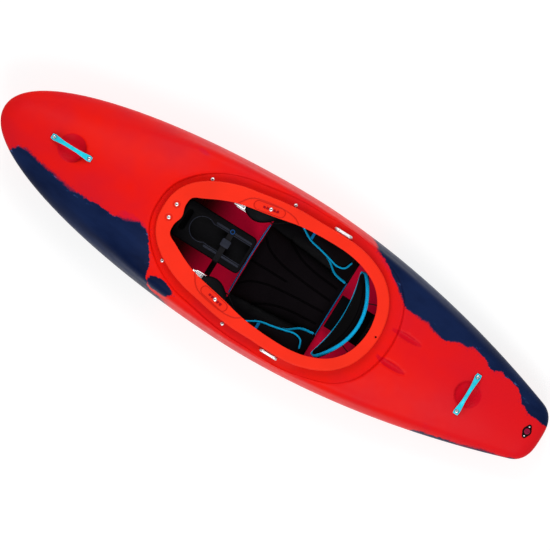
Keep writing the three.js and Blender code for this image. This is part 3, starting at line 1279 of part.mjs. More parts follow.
sides.forEach(([name, side]) => {
  add(`seat_rail_${name}`, seatRail(side), finishes.steel);
  add(`hip_pad_${name}`, pillow(hipPadShares, hipPad, side, inside), finishes.fabric);
  add(`hip_bolster_${name}`, pillow(bolsterShares, bolster, side, inside), finishes.fabric);
  add(`thigh_brace_${name}`, thighBrace(side), finishes.black);
  const [x, y] = slotFrame(side)(0, 0);
  add(`thigh_brace_screw_${name}`, screw(x, y, rimTopAt(x) - braceSlot.depth + fit.gap), finishes.steel);
  add(`ratchet_base_${name}`, ratchetBase(side), finishes.steel);
  add(`ratchet_lever_${name}`, ratchetLever(side), finishes.steel);
  add(`ratchet_pawl_${name}`, ratchetPawl(side), finishes.steel);
  add(`ladder_strap_${name}`, ladderStrap(side), finishes.black);
  add(`backband_strap_${name}`, backbandWebbing(side), finishes.fabric);
  add(`backband_cord_${name}`, backCordTube(side), finishes.black);
  add(`cord_eye_${name}`, cordEyePiece(side), finishes.black);
  add(`foot_rail_${name}`, footRail(side), finishes.steel);
  add(`foot_plate_${name}`, footPlate(side), finishes.black);
  add(`foot_pad_${name}`, footPad(side), finishes.grey);
  add(`rescue_bar_${name}`, rescueRod(side), finishes.steel);
  const dimpleFloor = rimTopAt(rimScrewX) - rimScrew.dimpleDepth;
  add(`rim_screw_${name}`, screw(rimScrewX, side * rimScrew.y, dimpleFloor + fit.gap), finishes.steel);
  grooveScrewPlaces.forEach((place, k) => {
    add(`groove_screw_${name}_${k + 1}`, screw(place.x, side * place.y, floorAt(place.x) + 2 * fit.gap),
      finishes.steel);
  });
  add(`drain_screw_${name}`, drainScrew(side), finishes.steel);
});

handleScrewPlaces.forEach(([x, y], k) => {
  const size = k < 2 ? bowGrip : sternGrip;
  const name = k < 2 ? `bow_handle_screw_${k + 1}` : `stern_handle_screw_${k - 1}`;
  add(name, screw(x, y, deckTop(x, y) + size.endThick - deckScrew.headHeight), finishes.steel);
});

export default group;
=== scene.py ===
"""Looks of a whitewater kayak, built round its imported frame. Lengths are millimetres until a mesh is made."""

import json
import math

import bmesh
import bpy
import numpy as np
from mathutils import Matrix, Vector, bvhtree, geometry

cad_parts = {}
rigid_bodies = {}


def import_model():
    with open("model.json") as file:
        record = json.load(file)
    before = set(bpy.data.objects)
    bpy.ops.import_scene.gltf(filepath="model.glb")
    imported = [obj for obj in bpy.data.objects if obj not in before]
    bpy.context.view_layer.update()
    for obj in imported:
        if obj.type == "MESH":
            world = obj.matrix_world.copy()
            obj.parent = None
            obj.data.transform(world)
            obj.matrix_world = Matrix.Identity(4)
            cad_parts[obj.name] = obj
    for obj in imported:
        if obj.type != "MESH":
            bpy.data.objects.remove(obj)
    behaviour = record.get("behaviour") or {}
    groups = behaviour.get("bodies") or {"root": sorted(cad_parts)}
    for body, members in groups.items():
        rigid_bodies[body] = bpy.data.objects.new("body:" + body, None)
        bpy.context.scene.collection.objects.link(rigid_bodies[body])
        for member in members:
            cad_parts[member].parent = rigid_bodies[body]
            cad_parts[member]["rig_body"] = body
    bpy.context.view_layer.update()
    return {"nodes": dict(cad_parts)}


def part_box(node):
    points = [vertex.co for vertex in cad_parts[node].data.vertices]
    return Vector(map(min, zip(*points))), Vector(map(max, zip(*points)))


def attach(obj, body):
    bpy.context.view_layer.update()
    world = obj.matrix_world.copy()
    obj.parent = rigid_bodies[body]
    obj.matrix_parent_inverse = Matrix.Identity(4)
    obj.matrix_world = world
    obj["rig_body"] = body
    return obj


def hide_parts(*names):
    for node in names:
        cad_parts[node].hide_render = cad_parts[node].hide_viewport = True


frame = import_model()
nodes = frame["nodes"]
MM, WELD = 0.001, 0.02
SIDES = (("port", 1), ("starboard", -1))

# Hull form, in the frame's own sizes and shares
HALF_LENGTH, HALF_BEAM, DECK_HEIGHT, WALL = 1130.0, 309.0, 322.0, 6.0
BOW_KICK, STERN_KICK, BOW_ROUND, STERN_ROUND, TIP_LAND, END_WALL = 205.0, 118.0, 60.0, 46.0, 2.5, 24.0
CORNER_SHARE, STERN_SHARE, STERN_POWER, BOW_POWER, BOW_ROOT, FLAT_SHARE = 0.94, 0.69, 1.9, 1.84, 0.48, 0.31
DECK_SHARES = [(-1, 0.53), (-0.8, 0.655), (-0.6, 0.73), (-0.42, 0.785), (0, 0.88), (0.3, 0.97), (0.45, 1),
               (0.7, 0.945), (0.9, 0.855), (1, 0.8)]
CREASE_WIDTHS = [(-1, 0.82), (-0.75, 0.85), (-0.45, 0.88), (0, 0.906), (0.35, 0.88), (0.55, 0.82),
                 (0.8, 0.745), (1, 0.7)]
CREASE_HEIGHTS = [(-1, 0.8), (-0.7, 0.82), (-0.4, 0.9), (0, 0.96), (0.35, 0.9), (0.6, 0.82), (1, 0.78)]
LOWER = [(0, 0), (0.58, 0), (0.72, 0.015), (0.81, 0.055), (0.9, 0.15), (0.965, 0.28), (1, 0.42),
         (0.995, 0.56)]
SHOULDER = (0.62, 0.55)
CROWN = [(0.82, 0.36), (0.55, 0.73), (0.27, 0.93)]

# Cockpit opening, rim and groove
OPENING = [(0.99, 0), (1.015, 0.2), (1, 0.37), (0.911, 0.47), (0.66, 0.693), (0.274, 0.856), (0.02, 0.96),
           (-0.236, 1), (-0.49, 0.99), (-0.669, 0.91), (-0.834, 0.742), (-0.95, 0.455), (-1, 0)]
OPEN_CENTRE, OPEN_LENGTH, OPEN_WIDTH, SPINE = -7.5, 392.5, 202.0, 200.0
OPEN_FRONT = OPEN_CENTRE + OPEN_LENGTH
STAND, FLANGE, OVERHANG, LIP_DROP, LIP_WALL = 38.0, 7.0, 24.0, 14.0, 5.0
SIDE_RIM, THIGH_RIM, FRONT_RIM, NOSE_RUN, NOSE_POWER = 44.0, 20.0, 73.0, 485.0, 2.4
NOSE_START, NOSE_END, THIGH_START, THIGH_END = 205.0, 85.0, -80.0, 130.0
RIM_LOW, RIM_RISE, RIM_REAR, RIM_RUN = 270.0, 65.0, -443.0, 901.0
GROOVE, GROOVE_LESS, GROOVE_MORE, FRONT_SPAN, REAR_SPAN = 34.0, 10.0, 21.0, (245, 375), (250, 380)
RING_COUNT, COCKPIT_REAR, COCKPIT_FRONT = 480, -560.0, 520.0
FILLET = 7.0

# Dips in the deck: dishes under the handles (centre, radius, depth), scooped grooves behind the cockpit
DISHES = [(844.0, 53.0, 15.0), (-823.0, 50.0, 14.0)]
SCOOP_X, SCOOP_Y, SCOOP_HALF_X, SCOOP_HALF_Y, SCOOP_DEPTH = -530.0, 58.0, 66.0, 13.0, 7.0
LINING_GROW = 22.0
SCOOP_RING_SHARES, DISH_STEPS = (1.0, 0.93, 0.84, 0.7, 0.5, 0.25), (1.0, -0.1, -0.8, -2, -4, -7)

# How fine the hull's grids are: columns on each side, and the blocks' reach in columns, spacing and margins
SKIN_COLUMNS, LINING_COLUMNS, SKIN_REACH, LINING_REACH = 66, 40, 41, 26
SKIN_SPACING, LINING_SPACING, DISH_SPACING, RIM_SPACING, FIELD_SPACING = 8.0, 16.0, 4.5, 0.85, 3.0
FIELD_ROWS, SCOOP_MARGIN, DISH_MARGIN, DISH_SIDE = 15, 12, 14, 20.0

# Slot, holes and dimples in the rim
SLOT_X, SLOT_OFFSET, SLOT_HALF, SLOT_RADIUS, SLOT_DEPTH, HOLE_PITCH = 125.0, 21.0, 58.5, 16.2, 2.6, 12.5
BRACE_LINE = [(12, 3), (32, 19), (60, 31), (90, 38), (130, 41), (170, 41), (196, 38), (214, 28), (228, 12),
              (236, 3)]
DIMPLE_X, DIMPLE_Y, DIMPLE_RADIUS = 420.0, 27.0, 12.0
SMALL_HOLE_X, LINE_WIDTH = -433.0, 1.6
SMALL_HOLE_DEPTH, HOLE_DEPTH, LINE_DEPTH = 5, 11, 0.8
# How much painted shade the small hole, the slot's edge and floor, the moulded line and the dimples' edges get
SMALL_HOLE_SHADE, SLOT_EDGE_SHADE, SLOT_FLOOR_SHADE, LINE_SHADE, DIMPLE_SHADE = 0.95, 0.66, 0.05, 0.7, 0.45

# Marks on the hull's surface: bare deck 0, rim 1, inside -1; the rim's marks above 1 add painted shade in its
# holes, slot, lines and dimples
ON_RIM, INSIDE = 1.0, -1.0

# Where daylight reaches the inside, and how far from its edge a navy area still fades
LIT_REAR, LIT_FRONT, NAVY_REACH = (-425, -375), (340, 200), 60

# Edges of the navy areas in plan, going round past the hull's own edge
BOW_NAVY = [(1050, 160), (1030, 125), (1015, 95), (985, 86), (950, 95), (850, 113), (800, 122), (750, 125),
            (600, 125), (550, 112), (500, 100), (460, 105), (430, 140), (400, 190), (388, 222), (382, 250),
            (362, 272), (330, 282), (292, 289), (262, 296), (240, 330), (240, 420), (1050, 420)]
PATCH_NAVY = [(262, 258), (284, 276), (312, 281), (342, 277), (367, 261), (370, 243), (354, 230), (328, 226),
              (302, 231), (276, 244)]
STERN_NAVY = [(-1150, -50), (-1125, -50), (-1050, -55), (-1000, -80), (-960, -115), (-880, -132),
              (-860, -118), (-830, -125), (-800, -142), (-760, -150), (-700, -145), (-650, -122),
              (-600, -125), (-560, -140), (-465, -145), (-440, -165), (-400, -200), (-350, -230),
              (-300, -262), (-262, -282), (-225, -310), (-225, -420), (-1150, -420)]
EDGE_NAVY = [(-1128, 92), (-1050, 119), (-950, 149), (-850, 177), (-780, 194), (-730, 209), (-700, 240),
             (-700, 420), (-1128, 420)]


# Curves and places
def smooth(low, high, value):
    t = np.clip((np.asarray(value, float) - low) / (high - low), 0, 1)
    return t * t * (3 - 2 * t)


def through(shares, at):
    """A smooth curve through a short table of shares."""
    xs, ys = np.array(shares, float).T
    slopes = np.empty(len(xs))
    slopes[1:-1] = (ys[2:] - ys[:-2]) / (xs[2:] - xs[:-2])
    slopes[0] = (ys[1] - ys[0]) / (xs[1] - xs[0])
    slopes[-1] = (ys[-1] - ys[-2]) / (xs[-1] - xs[-2])
    place = np.clip(at, xs[0], xs[-1])
    k = np.clip(np.searchsorted(xs, place) - 1, 0, len(xs) - 2)
    run = xs[k + 1] - xs[k]
    t = (place - xs[k]) / run
    return ((2 * t**3 - 3 * t**2 + 1) * ys[k] + (t**3 - 2 * t**2 + t) * run * slopes[k]
            + (3 * t**2 - 2 * t**3) * ys[k + 1] + (t**3 - t**2) * run * slopes[k + 1])


def half_beam(x):
    along = np.clip(np.abs(x) / HALF_LENGTH, 0, 1)
    corner = np.maximum(along - CORNER_SHARE, 0) / (1 - CORNER_SHARE)
    stern = (1 - STERN_SHARE * along**STERN_POWER) * np.clip(1 - corner**3, 0, 1) ** (1 / 3)
    return HALF_BEAM * np.where(x >= 0, (1 - along**BOW_POWER) ** BOW_ROOT, stern)


def keel(x):
    past = np.maximum(np.abs(x) / HALF_LENGTH - FLAT_SHARE, 0) / (1 - FLAT_SHARE)
    return np.where(x > 0, BOW_KICK * past**2.1, STERN_KICK * past**2)


def deck(x):
    return DECK_HEIGHT * through(DECK_SHARES, x / HALF_LENGTH)


def section_points(x, inset):
    """The control points of each cross section, from the crown of the deck to the keel."""
    along = np.clip(x / HALF_LENGTH, -1, 1)
    rounding = np.where(x > 0, BOW_ROUND, STERN_ROUND)
    past = np.clip((np.abs(x) - HALF_LENGTH + rounding) / rounding, 0, 1)
    depth = np.maximum((deck(x) - keel(x)) / 2 * np.sqrt(1 - past**2) - inset, TIP_LAND)
    half = np.maximum(half_beam(x) - inset, TIP_LAND)
    width, height = through(CREASE_WIDTHS, along), through(CREASE_HEIGHTS, along)
    last_width, last_height = LOWER[-1]
    shares = [(w + 0 * x, h + 0 * x) for w, h in LOWER]
    (out, up), rise = SHOULDER, height - last_height
    shares += [(width + (last_width - width) * out, last_height + rise * up)]
    shares += [(width, height)] + [(w * width, height + (1 - height) * h) for w, h in CROWN]
    shares += [(0 * x, 1 + 0 * x)]
    middle = (keel(x) + deck(x)) / 2
    points = [np.stack([w * half, middle + (2 * h - 1) * depth], 1) for w, h in reversed(shares)]
    return np.stack(points, 1)


def through_points(ends, steps):
    """Centripetal curves through rows of points, each row with one point more at both ends."""
    gap = np.maximum(np.sqrt(np.linalg.norm(np.diff(ends, axis=1), axis=2)), 1e-6)[..., None]
    p0, p1, p2, p3 = ends[:, :-3], ends[:, 1:-2], ends[:, 2:-1], ends[:, 3:]
    d0, d1, d2 = gap[:, :-2], gap[:, 1:-1], gap[:, 2:]
    t1 = ((p1 - p0) / d0 - (p2 - p0) / (d0 + d1) + (p2 - p1) / d1) * d1
    t2 = ((p2 - p1) / d1 - (p3 - p1) / (d1 + d2) + (p3 - p2) / d2) * d1
    t = (np.arange(steps) / steps)[:, None]
    t1, t2, a, b = (v[:, :, None] for v in (t1, t2, p1, p2))
    curve = a + t1 * t + (3 * (b - a) - 2 * t1 - t2) * t**2 + (2 * (a - b) + t1 + t2) * t**3
    return np.concatenate([curve.reshape(ends.shape[0], -1, ends.shape[2]), ends[:, -2:-1]], 1)


def curve_through(points, steps=8, closed=False):
    """One smooth line through a few given points."""
    points = np.array(points, float)
    if closed:
        ends = np.concatenate([points[-1:], points, points[:2]])
    else:
        ends = np.concatenate([2 * points[:1] - points[1:2], points, 2 * points[-1:] - points[-2:-1]])
    return through_points(ends[None], steps)[0]


def unit(rows):
    return rows / np.linalg.norm(rows, axis=1)[:, None]


def square_to(line):
    """Directions square to a plan line."""
    return unit(np.gradient(line, axis=0)[:, ::-1] * [-1, 1])


def at_height(plan, z):
    plan = np.asarray(plan, float)
    return np.column_stack([plan, np.broadcast_to(z, len(plan))])


def evenly(line, spacing=None, closed=False, count=None):
    """Points on a line at an even spacing, which a number of them can set."""
    run = np.concatenate([[0], np.cumsum(np.linalg.norm(np.diff(line, axis=0), axis=1))])
    count = count or max(2, int(round(run[-1] / spacing)))
    at = np.linspace(0, run[-1], count, endpoint=not closed)
    return np.column_stack([np.interp(at, run, line[:, k]) for k in range(line.shape[1])])


def dense_sections(x, inset):
    """Each cross section as a fine line from crown to keel, with the length run along it."""
    x = np.asarray(x, float)
    points = section_points(x, inset)
    flip = np.array([-1.0, 1.0])
    line = through_points(np.concatenate([points[:, 1:2] * flip, points, points[:, -2:-1] * flip], 1), 12)
    line[:, :, 1] = np.maximum(line[:, :, 1], line[:, -1:, 1])
    run = np.linalg.norm(np.diff(line, axis=1), axis=2)
    return line, np.concatenate([np.zeros((len(x), 1)), np.cumsum(run, 1)], 1)


def on_skin(x, around, inset=0.0):
    """Points on the hull at places along it and lengths round it from the crown, port positive."""
    line, run = dense_sections(x, inset)
    y = np.array([np.interp(abs(a), r, p[:, 0]) for a, r, p in zip(around, run, line)])
    z = np.array([np.interp(abs(a), r, p[:, 1]) for a, r, p in zip(around, run, line)])
    return np.stack([x, np.sign(around) * y, z], 1)


def round_from_crown(x, y, inset=0.0):
    """How far round from the crown the deck passes over a plan place."""
    line, run = dense_sections(x, inset)
    found = []
    for across, r, p in zip(y, run, line):
        top = int(np.argmax(p[:, 0])) + 1
        found.append(np.sign(across) * np.interp(abs(across), p[:top, 0], r[:top]))
    return np.array(found)


def deck_over(x, y):
    x, y = np.atleast_1d(np.asarray(x, float)), np.atleast_1d(np.asarray(y, float))
    return on_skin(x, round_from_crown(x, y))[:, 2]


def opening_line():
    port = [(OPEN_CENTRE + u * OPEN_LENGTH, v * OPEN_WIDTH) for u, v in OPENING]
    line = curve_through(port + [(x, -y) for x, y in port[-2:0:-1]], 24, closed=True)
    return evenly(line, closed=True, count=RING_COUNT)


opening = opening_line()
outward = unit(opening - at_height(np.clip(opening[:, :1], -SPINE, SPINE), 0))


def ring(offset):
    """The line round the opening at an offset outwards."""
    return opening + outward * np.broadcast_to(offset, RING_COUNT)[:, None]


def rim_width():
    """The rim is as wide as the thighs need along its sides, and rounds off by its own curve at the front."""
    near, far = np.zeros(RING_COUNT), np.full(RING_COUNT, 2 * HALF_BEAM)
    for _ in range(24):
        middle = (near + far) / 2
        x, y = ring(middle).T
        along, across = (x - OPEN_FRONT + NOSE_RUN) / (NOSE_RUN + FRONT_RIM), y / (OPEN_WIDTH + SIDE_RIM)
        inside = np.abs(along) ** NOSE_POWER + np.abs(across) ** NOSE_POWER < 1
        near, far = np.where(inside, middle, near), np.where(inside, far, middle)
    x = opening[:, 0]
    side = SIDE_RIM + THIGH_RIM * smooth(THIGH_START, THIGH_END, x)
    return side + (near - side) * smooth(OPEN_FRONT - NOSE_START, OPEN_FRONT - NOSE_END, x)


rim = rim_width()
groove = GROOVE - GROOVE_LESS * smooth(*FRONT_SPAN, opening[:, 0])
groove += GROOVE_MORE * smooth(*REAR_SPAN, -opening[:, 0])


def rim_top(x):
    return RIM_LOW + RIM_RISE * (x - RIM_REAR) / RIM_RUN


def rim_ring(offset, height):
    """The line round the opening at an offset outwards and a height from the rim's top."""
    plan = ring(offset)
    return at_height(plan, rim_top(plan[:, 0]) + height)


def opening_half(x):
    """How far the opening's edge is from the middle at places along it."""
    port = opening[opening[:, 1] >= 0]
    order = np.argsort(port[:, 0])
    return np.interp(x, port[order, 0], port[order, 1])


def slot_place(along, across, side):
    """A place in the slot that holds a thigh brace."""
    y = opening_half(SLOT_X) + SLOT_OFFSET
    ends = opening_half(np.array([SLOT_X - SLOT_HALF, SLOT_X + SLOT_HALF]))
    lean = math.atan2(ends[1] - ends[0], 2 * SLOT_HALF)
    return (SLOT_X + along * math.cos(lean) - across * math.sin(lean),
            side * (y + along * math.sin(lean) + across * math.cos(lean)))


def inside_loop(points, loop):
    """Which points lie inside a closed line."""
    x, y = points[:, 0:1], points[:, 1:2]
    x0, y0 = loop[:, 0], loop[:, 1]
    x1, y1 = np.roll(x0, -1), np.roll(y0, -1)
    crossed = (y0 > y) != (y1 > y)
    with np.errstate(divide="ignore", invalid="ignore"):
        cut = x0 + (y - y0) / (y1 - y0) * (x1 - x0)
    return (crossed & (x < cut)).sum(1) % 2 == 1


def distance_to(points, line, closed=False):
    """How far points are from a line of straight stretches."""
    starts = line if closed else line[:-1]
    ends = np.roll(line, -1, 0) if closed else line[1:]
    best = np.full(len(points), 1e9)
    for a, b in zip(starts, ends):
        run = b - a
        t = np.clip((points - a) @ run / max(run @ run, 1e-9), 0, 1)
        best = np.minimum(best, np.linalg.norm(points - a - t[:, None] * run, axis=1))
    return best


def depth_inside(points, loop):
    """How far inside a closed line points lie, negative outside it."""
    loop = np.array(loop, float)
    away = distance_to(points, loop, closed=True)
    return np.where(inside_loop(points, loop), away, -away)


def triangulate(outer, hole, inner):
    """Flat triangles between closed lines, which keep the lines' points."""
    coords, edges = [], []
    for loop in [outer] + ([hole] if hole is not None else []):
        base = len(coords)
        coords += [Vector(p) for p in loop]
        edges += [(base + k, base + (k + 1) % len(loop)) for k in range(len(loop))]
    coords += [Vector(p) for p in inner]
    verts, _, faces = geometry.delaunay_2d_cdt(coords, edges, [], 0, 1e-5)[:3]
    verts, faces = np.array([tuple(v) for v in verts]), np.array(faces)
    middle = verts[faces].mean(1)
    keep = inside_loop(middle, np.array(outer))
    if hole is not None:
        keep &= ~inside_loop(middle, np.array(hole))
    return verts, faces[keep]


def thin_out(points, spacing):
    """Drops points that crowd one that came before them."""
    seen, kept = {}, []
    for p in points:
        cell = (int(p[0] // spacing), int(p[1] // spacing))
        near = [q for i in (-1, 0, 1) for j in (-1, 0, 1) for q in seen.get((cell[0] + i, cell[1] + j), [])]
        if all((p[0] - q[0]) ** 2 + (p[1] - q[1]) ** 2 > spacing**2 for q in near):
            seen.setdefault(cell, []).append(p)
            kept.append(p)
    return kept


def turns(count):
    return np.linspace(0, 2 * math.pi, count, endpoint=False)


def ellipse(cx, cy, half_x, half_y, count):
    return [(cx + half_x * math.cos(a), cy + half_y * math.sin(a)) for a in turns(count)]


# Meshes
def link(name, data):
    obj = bpy.data.objects.new(name, data)
    bpy.context.scene.collection.objects.link(obj)
    return obj


def points_of(mesh, kind="co"):
    """A mesh's points or its normals."""
    values = np.empty(len(mesh.vertices) * 3)
    mesh.vertices.foreach_get(kind, values)
    return values.reshape(-1, 3)


def move_points(mesh, points):
    mesh.vertices.foreach_set("co", points.ravel())
    mesh.update()


def write_share(mesh, name, values):
    mesh.attributes.new(name, "FLOAT", "POINT").data.foreach_set("value", values)


class Skin:
    """Collects points and faces of one mesh, with a mark on each point for its material."""

    def __init__(self):
        self.points, self.faces, self.marks = [], [], []

    def add(self, points, faces, mark=0.0):
        base = sum(len(p) for p in self.points)
        self.points.append(np.asarray(points, float))
        self.faces += [tuple(int(i) + base for i in f) for f in faces]
        self.marks.append(np.broadcast_to(np.asarray(mark, float), len(points)))

    def add_rows(self, rows, mark=0.0):
        """Joins closed rows of points to each other with faces."""
        count = len(rows[0])
        starts = [(r * count, k, (k + 1) % count) for r in range(len(rows) - 1) for k in range(count)]
        faces = [(r + k, r + after, r + count + after, r + count + k) for r, k, after in starts]
        marks = np.repeat(np.asarray(mark, float), count) if np.ndim(mark) else mark
        self.add(np.concatenate(rows), faces, marks)

    def cap(self, rows, mark=0.0):
        """Caps the first and the last of some rows."""
        self.add(rows[0], [tuple(range(len(rows[0])))[::-1]])
        self.add(rows[-1], [tuple(range(len(rows[-1])))], mark)

    def object(self, name):
        mesh = bpy.data.meshes.new(name)
        mesh.from_pydata((np.concatenate(self.points) * MM).tolist(), [], self.faces)
        write_share(mesh, "mark", np.concatenate(self.marks))
        made = bmesh.new()
        made.from_mesh(mesh)
        bmesh.ops.remove_doubles(made, verts=made.verts, dist=WELD * MM)
        bmesh.ops.recalc_face_normals(made, faces=made.faces)
        made.to_mesh(mesh)
        made.free()
        mesh.shade_smooth()
        return link(name, mesh)


# Hull
def bowl(x, y, centre, radius):
    return np.sqrt(np.clip(1 - ((x - centre) ** 2 + y**2) / radius**2, 0, 1))


def dip_at(x, y, z, grow=0.0):
    """How deep the deck at a height is pressed in. The inner skin's dips are wider and deeper."""
    depth = np.zeros_like(x)
    for centre, radius, deep in DISHES:
        share = bowl(x, y, centre, radius + grow)
        floor = deck(centre) - share * (deep + (WALL + 2 if grow else 0))
        depth = np.maximum(depth, np.where(share > 0, z - floor, 0))
    away = np.hypot((x - SCOOP_X) / (SCOOP_HALF_X + grow), (np.abs(y) - SCOOP_Y) / (SCOOP_HALF_Y + grow))
    return np.maximum(depth, SCOOP_DEPTH * np.sqrt(np.clip(1 - away**2, 0, 1)) * smooth(1.0, 0.8, away))


def stations():
    """Places along the hull, close together at the tips and even between them."""
    steps = [1 - math.sin(math.pi / 2 * k / 12) for k in range(1, 12)]
    bow = [HALF_LENGTH - BOW_ROUND * t for t in steps]
    stern = [STERN_ROUND * t - HALF_LENGTH for t in steps]
    even = np.linspace(STERN_ROUND - HALF_LENGTH, HALF_LENGTH - BOW_ROUND, 232)
    return np.array(sorted([-HALF_LENGTH, HALF_LENGTH, *bow, *stern, *even]))


class Shell:
    """A skin of the hull at an inset, as a grid whose blocks can be filled with finer triangles."""

    def __init__(self, skin, xs, count, inset, mark):
        self.skin, self.xs, self.count, self.inset, self.mark = skin, xs, count, inset, mark
        _, run = dense_sections(xs, inset)
        self.around = np.linspace(-1, 1, 2 * count + 1)[None] * run[:, -1:]
        self.rows = np.stack([on_skin(np.full(2 * count + 1, x), a, inset) for x, a in zip(xs, self.around)])
        self.rows[:, [0, -1], 1] = 0
        if inset:
            upper = np.abs(self.around) < self.around[:, -1:] / 2
            self.rows[:, :, 2] -= np.where(upper, dip_at(*np.moveaxis(self.rows, 2, 0), LINING_GROW), 0)
        self.covered = np.zeros(self.around.shape, bool)

    def block(self, x0, x1, reach, feature, spacing, hole=None):
        """Fills the deck between two places along it, out to a share of the girth, with triangles."""
        i0, i1 = int(np.searchsorted(self.xs, x0)) - 1, int(np.searchsorted(self.xs, x1))
        j0, j1 = self.count - reach, self.count + reach
        self.covered[i0:i1, j0:j1] = True
        xs, a = self.xs, self.around
        loop = [(xs[i], a[i, j0]) for i in range(i0, i1)] + [(xs[i1], a[i1, j]) for j in range(j0, j1)]
        loop += [(xs[i], a[i, j1]) for i in range(i1, i0, -1)]
        loop += [(xs[i0], a[i0, j]) for j in range(j1, j0, -1)]
        edge = loop + (hole or [])
        low, high = a[i0:i1 + 1, j0].min(), a[i0:i1 + 1, j1].max()
        field = [(x, up) for r, up in enumerate(np.arange(low, high, spacing * 0.87))
                 for x in np.arange(xs[i0] + spacing * (0.6 + r % 2 / 2), xs[i1] - spacing * 0.5, spacing)]
        known = set(edge)
        inner = np.array([p for p in thin_out(edge + feature + field, spacing * 0.62) if p not in known])
        good = inside_loop(inner, np.array(loop))
        if hole:
            good &= ~inside_loop(inner, np.array(hole))
        verts, faces = triangulate(loop, hole, inner[good])
        points = on_skin(verts[:, 0], verts[:, 1], self.inset)
        points[:, 2] -= dip_at(*points.T, LINING_GROW if self.inset else 0)
        self.skin.add(points, faces, self.mark)

    def close(self):
        """Adds the rest of the grid and both tips."""
        width = self.rows.shape[1]
        faces = [(i * width + j, i * width + j + 1, (i + 1) * width + j + 1, (i + 1) * width + j)
                 for i in range(len(self.xs) - 1) for j in range(width - 1) if not self.covered[i, j]]
        self.skin.add(self.rows.reshape(-1, 3), faces, self.mark)
        for tip in (self.rows[0], self.rows[-1]):
            fan = [(k, k + 1, width) for k in range(width - 1)]
            self.skin.add(np.concatenate([tip, tip.mean(0)[None]]), fan, self.mark)


def around_places(plan, inset=0.0):
    plan = np.array(plan, float)
    return [(float(x), float(a)) for x, a in zip(plan[:, 0], round_from_crown(plan[:, 0], plan[:, 1], inset))]


def groove_edge(extra):
    return ring(rim + groove + extra)


def quarter(start, corner, end, shares):
    """Rows of a rounded corner between two lines."""
    return [start * (1 - t) ** 2 + corner * 2 * t * (1 - t) + end * t**2 for t in shares]


def deck_skin(skin):
    """The outer skin, open at the groove round the cockpit. Gives back the edge of that opening."""
    shell = Shell(skin, stations(), SKIN_COLUMNS, 0.0, 0.0)
    edge = groove_edge(FILLET)
    hole = around_places(edge)
    scoops = [p for side in (1, -1) for t in SCOOP_RING_SHARES
              for p in ellipse(SCOOP_X, side * SCOOP_Y, SCOOP_HALF_X * t, SCOOP_HALF_Y * t, int(90 * t))]
    shell.block(SCOOP_X - SCOOP_HALF_X - SCOOP_MARGIN, COCKPIT_FRONT, SKIN_REACH, around_places(scoops),
                SKIN_SPACING, hole)
    for centre, radius, _ in DISHES:
        steps = [*DISH_STEPS, *range(-11, -int(radius), -5)]
        rings = [p for r in radius + np.array(steps) for p in ellipse(centre, 0, r, r, max(6, int(2 * r)))]
        girth = round_from_crown(np.array([centre]), np.array([radius + DISH_SIDE]))[0]
        near = shell.around[np.searchsorted(shell.xs, [centre - radius, centre + radius]), -1].min()
        reach = int(np.ceil(girth / near * shell.count))
        span = radius + DISH_MARGIN
        shell.block(centre - span, centre + span, reach, around_places(rings), DISH_SPACING)
    shell.close()
    line = on_skin(edge[:, 0], np.array([a for _, a in hole]))
    line[:, 2] -= dip_at(*line.T)
    return line


def groove_rows(start):
    """Rows from the deck down the groove's wall, over its floor and up the collar under the rim."""
    edge = groove_edge(0)
    top = deck_over(edge[:, 0], edge[:, 1])
    top -= dip_at(*edge.T, top)
    floor = np.minimum(rim_top(edge[:, 0]) - STAND, top - 3)
    deep = np.minimum((top - floor) * 0.45, FILLET)
    rows = [start]
    wall, flat = at_height(groove_edge(-1), top - deep), at_height(groove_edge(-8), floor)
    rows += quarter(start, at_height(edge, top), wall, (0.2, 0.4, 0.6, 0.8, 1.0))
    low, foot = (at_height(groove_edge(-2), floor + up) for up in (deep, 0))
    rows += quarter(low, foot, flat, (0.0, 0.25, 0.5, 0.75, 1.0))
    collar = rim - OVERHANG
    near, base, up = (rim_ring(collar + out, height - STAND) for out, height in ((6, 0), (0, 0), (0, 6)))
    rows += [flat * (1 - t) + near * t for t in (0.33, 0.67)]
    return rows + quarter(near, base, up, (0.0, 0.3, 0.6, 1.0)), floor


def rim_rows():
    """Rows from the collar out under the flange, down and round its lip, and up to its top."""
    profile = [(rim - OVERHANG, -FLANGE - 2), (rim - OVERHANG + 2, -FLANGE), (rim - LIP_WALL - 2, -FLANGE),
               (rim - LIP_WALL, -FLANGE - 2), (rim - LIP_WALL, 1 - LIP_DROP), (rim - LIP_WALL + 1, -LIP_DROP),
               (rim - 1.2, -LIP_DROP), (rim, 1.5 - LIP_DROP), (rim, -5.5), (rim - 0.4, -3.2),
               (rim - 1.5, -1.3), (rim - 3, -0.35), (rim - 5, 0)]
    return [rim_ring(offset, height) for offset, height in profile]


def slot_holes(side):
    return [slot_place(k * HOLE_PITCH, 0, side) for k in (-2, -1, 1, 2)]


def rim_distances(x, y, side):
    """How far places on the rim are from a slot's outline, its nearest hole, its line and a dimple's edge."""
    (ox, oy), (ax, ay) = slot_place(5, 0, side), slot_place(6, 0, side)
    along = np.abs((x - ox) * (ax - ox) + (y - oy) * (ay - oy))
    aside = (y - oy) * (ax - ox) - (x - ox) * (ay - oy)
    slot = np.hypot(np.maximum(along - SLOT_HALF + SLOT_RADIUS, 0), aside) - SLOT_RADIUS
    hole = np.min([np.hypot(x - hx, y - hy) for hx, hy in slot_holes(side)], 0)
    line = distance_to(np.column_stack([x, y]), brace_line(side))
    return slot, hole, line, np.hypot(x - DIMPLE_X, y - side * DIMPLE_Y) - DIMPLE_RADIUS


